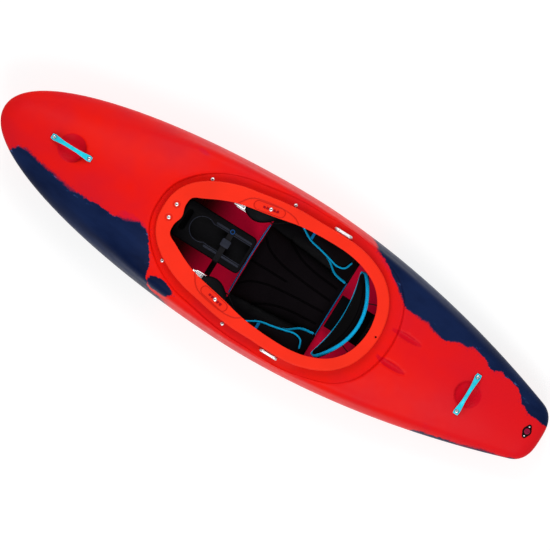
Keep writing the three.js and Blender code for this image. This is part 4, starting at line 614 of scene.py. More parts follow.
def rim_relief(x, y):
    """How deep the rim's top is pressed in at places, and how much painted shade its holes (1) and lines (less)
    get.
    """
    small = np.hypot(x - SMALL_HOLE_X, y)
    depth, painted_shade = SMALL_HOLE_DEPTH * smooth(4.4, 3.2, small), SMALL_HOLE_SHADE * smooth(4.6, 3.4, small)
    for side in (1, -1):
        slot, hole, line, dimple = rim_distances(x, y, side)
        slot_edge, line_near, dimple_edge = (np.exp(-(away / LINE_WIDTH) ** 2)
                                             for away in (slot, line, dimple))
        depth = np.maximum.reduce([depth, SLOT_DEPTH * smooth(1.0, -1.0, slot),
                                   HOLE_DEPTH * smooth(3.4, 2.3, hole), LINE_DEPTH * smooth(1.5, 0.2, line),
                                   SLOT_DEPTH * smooth(1.5, -1.5, dimple)])
        painted_shade = np.maximum.reduce([painted_shade, SLOT_EDGE_SHADE * slot_edge + SLOT_FLOOR_SHADE * (slot < 0),
                                  LINE_SHADE * line_near, DIMPLE_SHADE * dimple_edge, smooth(4.1, 3.1, hole)])
    return depth, painted_shade


def brace_line(side):
    """The fine moulded line round a slot, as offsets from the opening's edge."""
    plan = [(x, side * (opening_half(x) + out)) for x, out in BRACE_LINE]
    return evenly(curve_through(plan), 2.5)


def rim_features():
    """Places on the rim's top that its mesh must follow closely."""
    points = []
    for side in (1, -1):
        for grow in (-3.6, -1.6, 0.0, 1.1, 2.6):
            radius, half = SLOT_RADIUS + grow, SLOT_HALF - SLOT_RADIUS
            ends = [(end * (half + radius * math.cos(a)), radius * math.sin(a)) for end in (1, -1)
                    for a in np.linspace(-math.pi / 2, math.pi / 2, 20)]
            flanks = [(s, end * radius) for end in (1, -1) for s in np.linspace(-half, half, 28)[1:-1]]
            points += [slot_place(a + 5, b, side) for a, b in ends + flanks]
        for hx, hy in slot_holes(side):
            points += [p for r in (3.4, 2.85, 2.3) for p in ellipse(hx, hy, r, r, 12)] + [(hx, hy)]
        points += [p for r in (13.6, 12.6, 11.6, 10.4, 7, 3) for p in
                   ellipse(DIMPLE_X, side * DIMPLE_Y, r, r, int(2 * r) + 4)]
        line = brace_line(side)
        points += [tuple(p) for step in (0, -1.3, 1.3) for p in line + square_to(line) * step]
    points += [p for r in (4.4, 3.8, 3.2) for p in ellipse(SMALL_HOLE_X, 0, r, r, 14)]
    return points + [(SMALL_HOLE_X, 0)]


def rim_top_skin(skin):
    outer, inner = ring(rim - 5), ring(2.4)
    edge = [tuple(p) for p in np.concatenate([outer, inner])]
    field = [tuple(p) for t in np.linspace(0, 1, FIELD_ROWS)[1:-1] for p in inner * (1 - t) + outer * t]
    known = set(edge)
    close = thin_out(edge + rim_features(), RIM_SPACING)
    marked = set(close)
    points = [p for p in thin_out(close + field, RIM_SPACING) if p not in known]
    crowd = set(thin_out(edge + close + field, FIELD_SPACING))
    points = np.array([p for p in points if p in marked or p in crowd])
    good = inside_loop(points, outer) & ~inside_loop(points, inner)
    verts, faces = triangulate([tuple(p) for p in outer], [tuple(p) for p in inner], points[good])
    # The marks carry painted shade for the rim's holes, slot, lines and dimples.
    depth, painted_shade = rim_relief(*verts.T)
    skin.add(at_height(verts, rim_top(verts[:, 0]) - depth), faces, ON_RIM + painted_shade)


def inner_rows(floor):
    """Rows from the rim's top over its inner edge and down the inside to the inner skin."""
    collar = rim - OVERHANG - WALL
    profile = [(2.4, 0.0), (1.2, -0.35), (0.3, -1.2), (0.0, -2.4), (0.0, 1.6 - FLANGE), (0.5, 0.5 - FLANGE),
               (1.6, -FLANGE), (collar - 2, -FLANGE), (collar, -FLANGE - 2), (collar, -STAND - WALL)]
    rows = [rim_ring(offset, height) for offset, height in profile]
    plan = groove_edge(WALL)
    hole = around_places(plan, WALL)
    line = on_skin(plan[:, 0], np.array([a for _, a in hole]), WALL)
    line[:, 2] -= dip_at(*line.T, LINING_GROW)
    under = at_height(plan, np.minimum(floor - WALL, line[:, 2] - 1))
    rows += [(rows[-1] + under) / 2, under, line]
    return rows, hole


def marble(obj):
    """Writes where the navy areas are, where the inside is painted as lit by light through the hull's wall, and
    where the deck's dishes and scoops get painted shade.
    """
    points = points_of(obj.data) / MM
    plan = points[:, :2]
    depth = np.full(len(points), -float(NAVY_REACH))
    for loop in (BOW_NAVY, PATCH_NAVY, STERN_NAVY, EDGE_NAVY):
        box = np.array(loop)
        near = ((plan > box.min(0) - NAVY_REACH) & (plan < box.max(0) + NAVY_REACH)).all(1)
        depth[near] = np.maximum(depth[near], depth_inside(plan[near], loop))
    write_share(obj.data, "navy", np.clip(depth / NAVY_REACH, -1, 1))
    write_share(obj.data, "lit", smooth(*LIT_REAR, plan[:, 0]) * smooth(*LIT_FRONT, plan[:, 0]))
    dip_shade = np.maximum(*(bowl(*plan.T, centre, radius) for centre, radius, _ in DISHES))
    along, aside = (plan[:, 0] - SCOOP_X) / SCOOP_HALF_X, (np.abs(plan[:, 1]) - SCOOP_Y) / SCOOP_HALF_Y
    scoop = smooth(0, 0.6, 1 - along**2 - aside**2)
    write_share(obj.data, "dip_shade", np.maximum(dip_shade, np.where(points[:, 2] > 200, 0.8 * scoop, 0)))


def hull():
    skin = Skin()
    start = deck_skin(skin)
    rows, floor = groove_rows(start)
    skin.add_rows(rows)
    flange = rim_rows()
    skin.add_rows([rows[-1]] + flange, [0, 0] + [ON_RIM] * (len(flange) - 1))
    rim_top_skin(skin)
    rows, hole = inner_rows(floor)
    skin.add_rows(rows, [ON_RIM] * 4 + [0.3] + [INSIDE] * (len(rows) - 5))
    xs = stations()[::2]
    lining = Shell(skin, xs[np.abs(xs) < HALF_LENGTH - END_WALL], LINING_COLUMNS, WALL, INSIDE)
    lining.block(COCKPIT_REAR, COCKPIT_FRONT, LINING_REACH, [], LINING_SPACING, hole)
    lining.close()
    obj = skin.object("hull")
    marble(obj)
    settle(obj, "hull_plastic", "boat", "hull_shell")


# Materials
class Nodes:
    """A small hand for building one material's nodes."""

    def __init__(self, name, roughness, metallic=0.0, specular=0.5, sheen=0.0):
        self.material = bpy.data.materials.new(name)
        self.material.use_nodes = True
        self.tree = self.material.node_tree
        self.shader = self.tree.nodes["Principled BSDF"]
        self.set(self.shader, {"Roughness": roughness, "Metallic": metallic, "Specular IOR Level": specular,
                               "Sheen Weight": sheen})
        self.place = self.add("ShaderNodeTexCoord").outputs["Object"]

    def add(self, kind, **settings):
        node = self.tree.nodes.new(kind)
        for key, value in settings.items():
            setattr(node, key, value)
        return node

    def set(self, node, values):
        for socket, value in values.items():
            node.inputs[socket].default_value = value

    def put(self, value, socket):
        if isinstance(value, bpy.types.NodeSocket):
            self.tree.links.new(value, socket)
        else:
            socket.default_value = value

    def texture(self, kind, output, place=None, values=None, **settings):
        node = self.add(kind, **settings)
        self.set(node, values)
        self.put(place or self.place, node.inputs["Vector"])
        return node.outputs[output]

    def noise(self, scale, detail=4.0, rough=0.55, stretch=None):
        place = self.stretched(stretch) if stretch else None
        return self.texture("ShaderNodeTexNoise", "Fac", place,
                            {"Scale": scale, "Detail": detail, "Roughness": rough})

    def stretched(self, scale):
        return self.texture("ShaderNodeMapping", "Vector", None, {"Scale": scale})

    def cells(self, scale):
        return self.texture("ShaderNodeTexVoronoi", "Distance", None, {"Scale": scale})

    def waves(self, scale, direction, distortion=0.0):
        return self.texture("ShaderNodeTexWave", "Fac", None, {"Scale": scale, "Distortion": distortion},
                            bands_direction=direction)

    def along(self):
        node = self.add("ShaderNodeSeparateXYZ")
        self.put(self.place, node.inputs[0])
        return node.outputs["X"]

    def mark(self, name="mark"):
        return self.add("ShaderNodeAttribute", attribute_name=name).outputs["Fac"]

    def sum(self, a, b, operation="ADD"):
        node = self.add("ShaderNodeMath", operation=operation)
        self.put(a, node.inputs[0])
        self.put(b, node.inputs[1])
        return node.outputs[0]

    def span(self, value, low, high, out_low=0.0, out_high=1.0):
        node = self.add("ShaderNodeMapRange")
        self.put(value, node.inputs["Value"])
        self.set(node, {"From Min": low, "From Max": high, "To Min": out_low, "To Max": out_high})
        return node.outputs["Result"]

    def mix(self, factor, a, b):
        node = self.add("ShaderNodeMix", data_type="RGBA")
        self.put(factor, node.inputs["Factor"])
        for value, socket in ((a, node.inputs[6]), (b, node.inputs[7])):
            self.put(value if isinstance(value, bpy.types.NodeSocket) else (*value, 1), socket)
        return node.outputs[2]

    def colour(self, value):
        self.put(value, self.shader.inputs["Base Color"])

    def rough(self, value):
        self.put(value, self.shader.inputs["Roughness"])

    def bump(self, height, distance, strength=1.0, after=None):
        node = self.add("ShaderNodeBump")
        self.set(node, {"Strength": strength, "Distance": distance * MM})
        self.put(height, node.inputs["Height"])
        if after is not None:
            self.put(after, node.inputs["Normal"])
        self.put(node.outputs["Normal"], self.shader.inputs["Normal"])
        return node.outputs["Normal"]


def shade(colour, share):
    return tuple(min(1.0, c * share) for c in colour)


def hull_plastic():
    """Marbled rotomoulded plastic: red with navy areas and a brighter rim, painted shade in the rim's holes and
    lines and in the deck's dishes, and a crimson inside that paints the red as seen in shade and lit through
    the wall, with a painted glow near the cockpit.
    """
    m = Nodes("hull_plastic", 0.4, specular=0.04)
    # crimson is the hull's red painted as it looks inside, in shade and lit through the wall
    red, bright, crimson = (0.77, 0.008, 0.004), (0.88, 0.028, 0.011), (0.62, 0.002, 0.03)
    navy, deep, streak = (0.006, 0.015, 0.06), (0.002, 0.006, 0.03), (0.04, 0.1, 0.28)
    cloud = m.noise(3.2, 3.0)
    deck = m.mix(m.span(cloud, 0.42, 0.7), red, (0.62, 0.008, 0.016))
    tint = m.sum(m.noise(7.0, 5.0, stretch=(0.5, 1.0, 1.0)), m.span(m.mark("navy"), -1.0, 0.2, 0.0, 0.12))
    deck = m.mix(m.span(tint, 0.66, 0.76, 0.0, 0.55), deck, (0.42, 0.002, 0.06))
    deck = m.mix(m.span(m.along(), -0.4, -0.95, 0.0, 0.8), deck, (0.68, 0.008, 0.014))
    # Painted shade in the dishes and scoops: the deck turns a darker crimson there
    deck = m.mix(m.span(m.mark("dip_shade"), 0.02, 0.35, 0.0, 0.88), deck, (0.58, 0.002, 0.012))
    edge = m.sum(m.mark("navy"), m.span(m.noise(17.0, 7.0, 0.62), 0.2, 0.8, -0.17, 0.17))
    edge = m.sum(edge, m.span(m.noise(120.0, 4.0, 0.7), 0.2, 0.8, -0.07, 0.07))
    blue = m.mix(m.span(m.noise(11.0, 5.0, stretch=(0.35, 1.0, 1.0)), 0.38, 0.7), navy, deep)
    fleck = m.span(m.noise(60.0, 6.0, 0.7, stretch=(0.4, 1.0, 1.0)), 0.6, 0.68)
    fleck = m.sum(fleck, m.span(edge, 0.35, 0.05), "MULTIPLY")
    blue = m.mix(fleck, blue, streak)
    specks = m.span(m.noise(170.0, 5.0, 0.6), 0.6, 0.65)
    specks = m.sum(specks, m.span(edge, -0.3, -0.02, 0.0, 0.7), "MULTIPLY")
    deck = m.mix(specks, deck, (0.12, 0.008, 0.06))
    firm = m.span(m.noise(4.0, 2.0), 0.42, 0.62, 20.0, 4.5)
    outside = m.mix(m.span(m.sum(edge, firm, "MULTIPLY"), -0.5, 0.5), deck, blue)
    lively = m.mix(m.span(m.noise(5.0, 3.0), 0.35, 0.75), bright, shade(bright, 0.86))
    # Painted shade on the rim: darker red at the slot's edges, lines and dimples, near black in the holes
    lively = m.mix(m.span(m.mark(), 1.0, 1.75), lively, (0.42, 0.006, 0.004))
    lively = m.mix(m.span(m.mark(), 1.72, 1.86), lively, (0.004, 0.001, 0.001))
    coat = m.mix(m.span(m.mark(), 0.0, 0.9), outside, lively)
    inner = m.mix(m.span(m.noise(9.0, 4.0), 0.35, 0.7), crimson, shade(crimson, 0.7))
    # Painted shade: the inside goes near black away from where daylight reaches it
    inner = m.mix(m.mark("lit"), (0.12, 0.0005, 0.006), inner)
    inside = m.span(m.mark(), -0.1, -0.8)
    m.colour(m.mix(inside, coat, inner))
    # Painted glow: the inside near the cockpit emits crimson light, standing in for daylight through the wall
    m.shader.inputs["Emission Strength"].default_value = 1.0
    glow = m.mix(m.sum(inside, m.mark("lit"), "MULTIPLY"), (0.0, 0.0, 0.0), (0.15, 0.0006, 0.01))
    m.put(glow, m.shader.inputs["Emission Color"])
    m.rough(m.span(m.noise(40.0, 6.0, 0.65), 0.3, 0.75, 0.27, 0.42))
    m.bump(m.noise(310.0, 3.0), 0.12, 0.5, m.bump(m.noise(36.0, 3.0), 0.35, 0.35))
    return m.material


def moulded(name, colour, roughness, grain=0.5, specular=0.1):
    """Moulded plastic with a fine spark-eroded grain and faint scuffs."""
    m = Nodes(name, roughness, specular=specular)
    m.colour(m.mix(m.span(m.noise(60.0, 6.0), 0.35, 0.75), colour, shade(colour, 0.72)))
    scuff = m.noise(180.0, 5.0, 0.7, stretch=(0.25, 1.0, 1.0))
    m.rough(m.span(scuff, 0.35, 0.75, roughness - 0.08, roughness + 0.12))
    m.bump(m.cells(1300.0), 0.08, grain)
    return m.material


def closed_foam(name, colour):
    """Closed-cell foam: a skin of fine cells with soft hollows."""
    m = Nodes(name, 0.85, specular=0.06)
    m.colour(m.mix(m.span(m.noise(220.0, 5.0), 0.35, 0.7), colour, shade(colour, 0.55)))
    m.bump(m.cells(620.0), 0.25, 0.7, m.bump(m.noise(30.0, 4.0), 0.8, 0.3))
    return m.material


def knit(name, colour, specular=0.05):
    """Brushed knit over foam: fine loops, a soft nap and a little fading."""
    m = Nodes(name, 0.88, specular=specular, sheen=0.02)
    nap = m.noise(1400.0, 3.0, 0.7)
    faded = m.mix(m.span(m.noise(14.0, 5.0), 0.35, 0.75), shade(colour, 0.75), shade(colour, 1.35))
    m.colour(m.mix(m.span(nap, 0.3, 0.75), faded, shade(colour, 0.5)))
    loops = m.sum(m.waves(150.0, "DIAGONAL", 1.2), m.cells(900.0))
    m.bump(loops, 0.16, 0.6, m.bump(m.noise(70.0, 4.0), 0.5, 0.35))
    return m.material


def weave(name, colour, period, specular=0.1):
    """Woven webbing: crossing bands of thread, one period of them in millimetres."""
    m = Nodes(name, 0.75, specular=specular, sheen=0.2 * specular)
    scale = 2 * math.pi / (20 * period * MM)
    across, along = m.waves(scale, "X", 0.4), m.waves(scale * 0.7, "Y", 0.4)
    bands = m.sum(across, m.sum(along, m.waves(scale * 0.7, "Z", 0.4)), "MULTIPLY")
    worn = m.mix(m.span(m.noise(90.0), 0.3, 0.7), colour, shade(colour, 1.3))
    m.colour(m.mix(m.span(bands, 0.1, 1.1), shade(colour, 0.6), worn))
    m.bump(bands, 0.25, 0.8)
    return m.material


def brushed_steel():
    m = Nodes("steel", 0.28, metallic=1.0)
    grain = m.noise(500.0, 4.0, 0.6, stretch=(0.15, 1.0, 1.0))
    bare = m.mix(m.span(grain, 0.3, 0.7), (0.86, 0.87, 0.88), (0.66, 0.67, 0.69))
    # Marked places, the sockets of screws and bolts, are painted near black as shade
    m.colour(m.mix(m.mark(), bare, (0.03, 0.03, 0.032)))
    m.rough(m.span(m.noise(220.0, 5.0), 0.3, 0.75, 0.3, 0.5))
    m.bump(grain, 0.03, 0.4)
    return m.material


MATERIALS = {
    "hull_plastic": hull_plastic(),
    "black_plastic": moulded("black_plastic", (0.0032, 0.003, 0.004), 0.5, specular=0.04),
    "black_foam": closed_foam("black_foam", (0.0022, 0.0022, 0.0034)),
    "grey_foam": closed_foam("grey_foam", (0.03, 0.03, 0.034)),
    "padding": knit("padding", (0.0048, 0.0033, 0.0046)),
    "band_padding": knit("band_padding", (0.0014, 0.0012, 0.0018), 0.025),
    "piping": weave("piping", (0.0, 0.45, 0.86), 1.6),
    # A darker copy of the piping, its darker blue painted shade, for the seat's piping and the hip tabs
    "shaded_piping": weave("shaded_piping", (0.001, 0.2, 0.52), 1.6),
    "webbing": weave("webbing", (0.008, 0.008, 0.01), 2.6),
    "cord": weave("cord", (0.008, 0.007, 0.008), 1.5),
    # Near-black thread without shine, which on the seat's seams also paints the shade in their grooves
    "thread": weave("thread", (0.0007, 0.0005, 0.0007), 0.8, specular=0.0),
    # Grey plastic for the buckle; on the front pillar the same grey paints highlights
    "grey_plastic": moulded("grey_plastic", (0.019, 0.022, 0.036), 0.4),
    "blue_plastic": moulded("blue_plastic", (0.006, 0.08, 0.3), 0.38, specular=0.2),
    "handle_plastic": moulded("handle_plastic", (0.01, 0.66, 0.83), 0.36, 0.35, 0.22),
    "plug_rubber": moulded("plug_rubber", (0.3, 0.004, 0.04), 0.5, 0.7),
    "steel": brushed_steel(),
}


def settle(obj, material, body, *replaced):
    """Gives a piece its material and the body it rides on, in place of CAD pieces."""
    obj.data.materials.clear()
    obj.data.materials.append(MATERIALS[material])
    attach(obj, body)
    if replaced:
        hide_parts(*replaced)
    return obj


# Pieces made from lines and pads
END_SHARES = np.array([[0.95], [0.75], [0.4]])
STITCH_PITCH, STITCH_HALF, STITCH_RADIUS = 5.0, 1.6, 0.4
PAD_VOXEL, PAD_PRESSURE, CLOTH_STEPS, SHARP_ANGLE = 5.0, 4.0, 20, 32.0


def tube(skin, line, radius, reference=(0, 0, 1), closed=False, sides=12, flat=1.0):
    """A round band along a line, with rounded ends."""
    line = np.asarray(line, float)
    radius = np.broadcast_to(radius, len(line))[:, None]
    run = unit(np.roll(line, -1, 0) - np.roll(line, 1, 0) if closed else np.gradient(line, axis=0))
    side = unit(np.cross(run, reference))
    up = np.cross(side, run) * flat
    if closed:
        line, radius, side, up = (np.concatenate([v, v[:1]]) for v in (line, radius, side, up))
    else:
        body, parts = (line, radius, side, up), []
        for k, way, steps in ((0, -1, END_SHARES), (-1, 1, END_SHARES[::-1])):
            parts.append([line[k] + way * steps * radius[k] * run[k], radius[k] * np.sqrt(1 - steps**2),
                          np.repeat(side[[k]], len(steps), 0), np.repeat(up[[k]], len(steps), 0)])
        line, radius, side, up = (np.concatenate([parts[0][n], body[n], parts[1][n]]) for n in range(4))
    turn = turns(sides)
    rows = [p + r * (np.cos(turn)[:, None] * s + np.sin(turn)[:, None] * u)
            for p, r, s, u in zip(line, radius, side, up)]
    skin.add_rows(rows)
    if not closed:
        skin.cap(rows)


def stitch(skin, line):
    """A row of short raised stitches along a line."""
    places = evenly(line, STITCH_PITCH)
    for p, r in zip(places, unit(np.gradient(places, axis=0))):
        arch = [p - r * STITCH_HALF, p + np.array([0, 0, STITCH_RADIUS * 0.6]), p + r * STITCH_HALF]
        tube(skin, arch, STITCH_RADIUS, reference=(0.1, 0.2, 1), sides=6)


def bands(name, material, body, lines, replaced=(), **settings):
    """A piece made of round bands, each a line and its radius."""
    skin = Skin()
    for line, radius in lines:
        tube(skin, line, radius, **settings)
    return settle(skin.object(name), material, body, *replaced)


def stitching(name, body, lines):
    skin = Skin()
    for line in lines:
        stitch(skin, line)
    settle(skin.object(name), "thread", body)


def surface_finder(obj, towards):
    """Gives a function that moves points along a direction until they meet a piece."""
    mesh = obj.data
    corners, faces = [v.co[:] for v in mesh.vertices], [tuple(p.vertices) for p in mesh.polygons]
    tree = bvhtree.BVHTree.FromPolygons(corners, faces)
    towards = Vector(towards).normalized()

    def find(line):
        found = []
        for p in line:
            place = tree.ray_cast(Vector(p) * MM - towards * 0.3, towards)[0]
            found.append(tuple(place / MM) if place else tuple(p))
        return np.array(found)

    return find


def carve(obj, lines, depth, width, facing):
    """Presses seams into the side of a piece that faces a direction."""
    points, normals = points_of(obj.data) / MM, points_of(obj.data, "normal")
    turned = normals @ np.array(facing) > 0.25
    away = np.full(len(points), 1e9)
    for line in lines:
        low, high = line.min(0) - 4 * width, line.max(0) + 4 * width
        near = turned & ((points > low) & (points < high)).all(1)
        away[near] = np.minimum(away[near], distance_to(points[near], line))
    points -= normals * (depth * np.exp(-((away / width) ** 2)))[:, None]
    move_points(obj.data, points * MM)


def applied(obj):
    """Turns a piece's modifiers into its mesh."""
    mesh = bpy.data.meshes.new_from_object(obj.evaluated_get(bpy.context.evaluated_depsgraph_get()))
    obj.modifiers.clear()
    obj.data = mesh
    mesh.shade_smooth()


def puffed(obj, cap):
    """Swells a closed pad as stuffed cloth, with a cap on how far its cover moves."""
    remesh = obj.modifiers.new("remesh", "REMESH")
    remesh.mode, remesh.voxel_size = "VOXEL", PAD_VOXEL * MM
    applied(obj)
    scene = bpy.context.scene
    rest = points_of(obj.data)
    cloth = obj.modifiers.new("cloth", "CLOTH")
    cloth.settings.use_pressure = True
    cloth.settings.uniform_pressure_force = PAD_PRESSURE
    cloth.settings.effector_weights.gravity = 0
    for step in range(CLOTH_STEPS):
        scene.frame_set(step + 1)
    move = points_of(obj.evaluated_get(bpy.context.evaluated_depsgraph_get()).data) - rest
    obj.modifiers.clear()
    scene.frame_set(1)
    far = np.linalg.norm(move, axis=1)[:, None]
    move *= np.minimum(1, cap * MM / np.maximum(far, 1e-9))
    move_points(obj.data, rest + move)
    relax = obj.modifiers.new("relax", "SMOOTH")
    relax.iterations = 6
    obj.modifiers.new("fine", "SUBSURF").levels = 1
    applied(obj)


def finished(node, material, bevel):
    """A CAD piece again with rounded edges and smooth curves."""
    source = nodes[node]
    mesh = source.data.copy()
    made = bmesh.new()
    made.from_mesh(mesh)
    bmesh.ops.remove_doubles(made, verts=made.verts, dist=0.01 * MM)
    bmesh.ops.dissolve_limit(made, angle_limit=math.radians(1.0), verts=made.verts, edges=made.edges)
    made.to_mesh(mesh)
    made.free()
    obj = link(node + "_finish", mesh)
    if bevel:
        edge = obj.modifiers.new("edge", "BEVEL")
        edge.width, edge.segments, edge.limit_method = bevel * MM, 3, "ANGLE"
        edge.angle_limit = math.radians(SHARP_ANGLE)
        edge.use_clamp_overlap = True
        applied(obj)
    obj.data.shade_smooth()
    obj.data.set_sharp_from_angle(angle=math.radians(SHARP_ANGLE))
    return settle(obj, material, source["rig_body"], node)


SHANK, SCREW_RISE = 2.4, 3.4


def screw(node):
    """A domed screw head with a six-sided socket, on its shank."""
    low, high = (np.array(corner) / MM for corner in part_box(node))
    middle, radius = (low + high) / 2, (high[0] - low[0]) / 2
    base = high[2] - SCREW_RISE
    turn = turns(36)
    circle = np.column_stack([np.cos(turn), np.sin(turn)])
    sixth = math.pi / 3
    socket = circle * (math.cos(sixth / 2) / np.cos((turn + sixth / 2) % sixth - sixth / 2))[:, None]
    head = [(SHANK, low[2]), (SHANK, base), (radius - 0.4, base), (radius, base + 0.4), (radius, base + 1.1),
            (radius * 0.93, base + 2.0), (radius * 0.72, base + 2.9), (radius * 0.5, high[2])]
    inside = [(2.9, high[2]), (2.5, high[2] - 0.3), (2.5, base + 1.2)]
    rows = [at_height(middle[:2] + r * shape, z) for profile, shape in ((head, circle), (inside, socket))
            for r, z in profile]
    skin = Skin()
    # The socket's rows and floor are marked to be painted near black as shade.
    skin.add_rows(rows, [0] * (len(rows) - 2) + [0.6, 1])
    skin.cap(rows, 1.0)
    obj = skin.object(node + "_finish")
    obj.data.set_sharp_from_angle(angle=math.radians(38))
    settle(obj, "steel", nodes[node]["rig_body"], node)


# Bars to clip a rescue line to
BAR_RADIUS, BAR_FLAT, BAR_INSET, BAR_BEND, BAR_FOOT, BAR_BOLT = 4.2, 1.55, 4.5, 9.0, 4.0, 10.0
BOLT_PROFILE = [(5.0, 2.6), (5.0, 4.0), (4.4, 4.6), (3.0, 4.7), (2.7, 4.3), (2.6, 3.2)]


def rescue_bars():
    """Wide steel bars with a bolt let into each end, on two legs."""
    for name, _ in SIDES:
        node = f"rescue_bar_{name}"
        low, high = (np.array(corner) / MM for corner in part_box(node))
        x0, x1, y, top = low[0] + BAR_INSET, high[0] - BAR_INSET, (low[1] + high[1]) / 2, high[2] - BAR_RADIUS
        leg = [(x0, low[2] + BAR_FOOT), (x0, top - 22)]
        leg += [(x0 + BAR_BEND * (1 - math.sin(a)), top - BAR_BEND * (1 - math.cos(a)))
                for a in np.linspace(math.pi / 2, 0, 7)]
        path = leg + [(x, top) for x in np.linspace(x0 + BAR_BEND, x1 - BAR_BEND, 12)[1:-1]]
        path += [(x0 + x1 - x, z) for x, z in reversed(leg)]
        skin = Skin()
        tube(skin, [(x, y, z) for x, z in path], BAR_RADIUS, reference=(0, 1, 0), sides=28, flat=BAR_FLAT)
        for x in (x0 + BAR_BOLT, x1 - BAR_BOLT):
            rows = [at_height(ellipse(x, y, r, r, 24), top + z) for r, z in BOLT_PROFILE]
            # The bolt's socket is marked to be painted near black as shade.
            skin.add_rows(rows, [0, 0, 0, 0, 0.8, 1])
            skin.cap(rows, 1.0)
        settle(skin.object(node + "_finish"), "steel", "boat", node)


# Seat
SEAT_REAR, SEAT_FRONT, SEAT_REAR_HALF, SEAT_FRONT_HALF, SEAT_BASE = -248.0, 103.0, 112.0, 146.0, 22.9
SEAT_EDGE, SEAT_CROWN, SEAT_BOW, SEAT_INSET = 12.0, 27.0, 4.0, 2.0
SIDE_ROUND, END_ROUND, ABOVE = 0.12, 0.07, 60.0
SEAM_DEPTH, SEAM_WIDTH, THREAD_STEP, THREAD_RADIUS = 4.2, 4.2, 2.6, 1.5
SEAT_PIPING = [(1.0, SEAT_FRONT - 0.4, 4.0, 3.0), (0.0, SEAT_REAR + 1.5, 1.0, 1.8)]
SEAT_SEAMS = [
    [(-228, 74), (-120, 84), (-60, 99), (-10, 124), (8, 136)],
    [(-228, 24), (-100, 33), (0, 47), (60, 71), (88, 98)],
]


def seat_half(u):
    return SEAT_REAR_HALF + (SEAT_FRONT_HALF - SEAT_REAR_HALF) * u**0.8


def seat_cushion():
    """The seat's cushion, pressed in along the seams between its fanned panels."""
    skin = Skin()
    rows = []
    v = np.linspace(-1, 1, 26)
    side = np.minimum(1 - np.abs(v), SIDE_ROUND) / SIDE_ROUND
    for u in np.linspace(0, 1, 30):
        half = seat_half(u) - SEAT_INSET
        x = SEAT_REAR + SEAT_INSET + (SEAT_FRONT - SEAT_REAR - 2 * SEAT_INSET) * u - SEAT_BOW * v**2 * u
        end = min(u, 1 - u, END_ROUND) / END_ROUND
        crown = np.sqrt(np.sin(np.pi / 2 * side)) * math.sqrt(max(math.sin(math.pi / 2 * end), 0))
        z = SEAT_BASE + SEAT_EDGE + crown * (SEAT_CROWN - SEAT_EDGE - 2.5)
        under = at_height(np.column_stack([x, v * half * 0.985]), SEAT_BASE + 0.3)
        rows.append(np.concatenate([np.column_stack([x, v * half, z]), under[::-1]]))
    skin.add_rows(rows)
    skin.cap(rows[::-1])
    obj = skin.object("seat_cushion")
    puffed(obj, 4.0)
    seams = [evenly(curve_through([(x, side * y) for x, y in seam]), 3.0) for seam in SEAT_SEAMS
             for side in (1, -1)]
    seams.append(evenly(np.array([(-58.0, 0.0), (92.0, 0.0)]), 3.0))
    down = surface_finder(obj, (0, 0, -1))
    on_top = [down(at_height(line, ABOVE)) for line in seams]
    carve(obj, on_top, SEAM_DEPTH, SEAM_WIDTH, (0, 0, 1))
    settle(obj, "padding", "boat", "seat_pad")
    return obj, seams


def seat_threads(cushion, seams):
    """Both sides of each seam as a raised band with stitches on it, in near-black thread that also paints the
    shade in the seams' grooves.
    """
    down = surface_finder(cushion, (0, 0, -1))
    thread = Skin()
    for line in seams:
        for step in (-THREAD_STEP, THREAD_STEP):
            seam = down(at_height(line + square_to(line) * step, ABOVE))
            tube(thread, seam, THREAD_RADIUS, sides=8, flat=0.5)
            stitch(thread, seam + [0, 0, 0.4])
    settle(thread.object("seat_stitching"), "thread", "boat")


def seat_piping():
    """Piping along the front and the rear edge, each with its share, place, rise and radius."""
    lines = []
    for u, x, up, radius in SEAT_PIPING:
        v = np.linspace(-0.97, 0.97, 40)
        plan = np.column_stack([x - SEAT_BOW * v**2 * u, v * seat_half(u)])
        lines.append((at_height(plan, SEAT_BASE + SEAT_EDGE + up), radius))
    bands("seat_piping", "shaded_piping", "boat", lines)


# Hip pads
WING_FRONT, WING_REAR, SEAT_WIDTH = -12.0, -222.0, 206.0
HIP_SHARES = [(-0.029, 0.956), (0.181, 0.835), (0.419, 0.777), (0.657, 0.718), (0.824, 0.684), (0.952, 0.728),
              (1.01, 0.864), (1, 1.019), (0.467, 1.029), (-0.029, 1.019)]
BOLSTER_SHARES = [(0.505, 0.757), (0.657, 0.689), (0.848, 0.553), (1.076, 0.51), (1.114, 0.573),
                  (1.114, 0.874), (1, 0.995), (0.752, 1), (0.505, 0.951)]
RING_SHARES = [(0.82, 0), (0.94, 0.1), (0.99, 0.3), (1, 0.6), (0.97, 0.86), (0.86, 1)]
HIP_LOW, HIP_HEIGHT, BOLSTER_LOW, BOLSTER_HEIGHT, PAD_SCALE = 92.5, 97.0, 50.5, 37.0, 0.985
TAB_X, TAB_LINE = -52, [(178, 187.5), (184, 191), (192, 192), (202, 191.5)]


def on_wing(shares, side):
    """Places on a wing of the seat from shares of its length and its distance from the middle."""
    return [(WING_FRONT + u * (WING_REAR - WING_FRONT), side * v * SEAT_WIDTH) for u, v in shares]


def pillow(name, replaced, shares, side, low, height, cap):
    """A pad on a closed outline, with rounded edges."""
    outline = evenly(curve_through(on_wing(shares, side), 12, closed=True), 6.0, closed=True)
    centre = outline.mean(0)
    rows = [at_height(centre + (outline - centre) * scale * PAD_SCALE, low + up * height)
            for scale, up in RING_SHARES]
    skin = Skin()
    skin.add_rows(rows)
    skin.cap(rows)
    obj = skin.object(name)
    puffed(obj, cap)
    settle(obj, "padding", "boat", replaced)


def edge_line(shares, side, first, last, height, inwards):
    """A line along part of a pad's outline, at a height."""
    plan = on_wing(shares[first:last], side)
    line = evenly(curve_through(plan, 10), 4.0)
    centre = np.array([np.mean([x for x, _ in plan]), side * SEAT_WIDTH])
    return at_height(line + inwards * unit(centre - line), height)


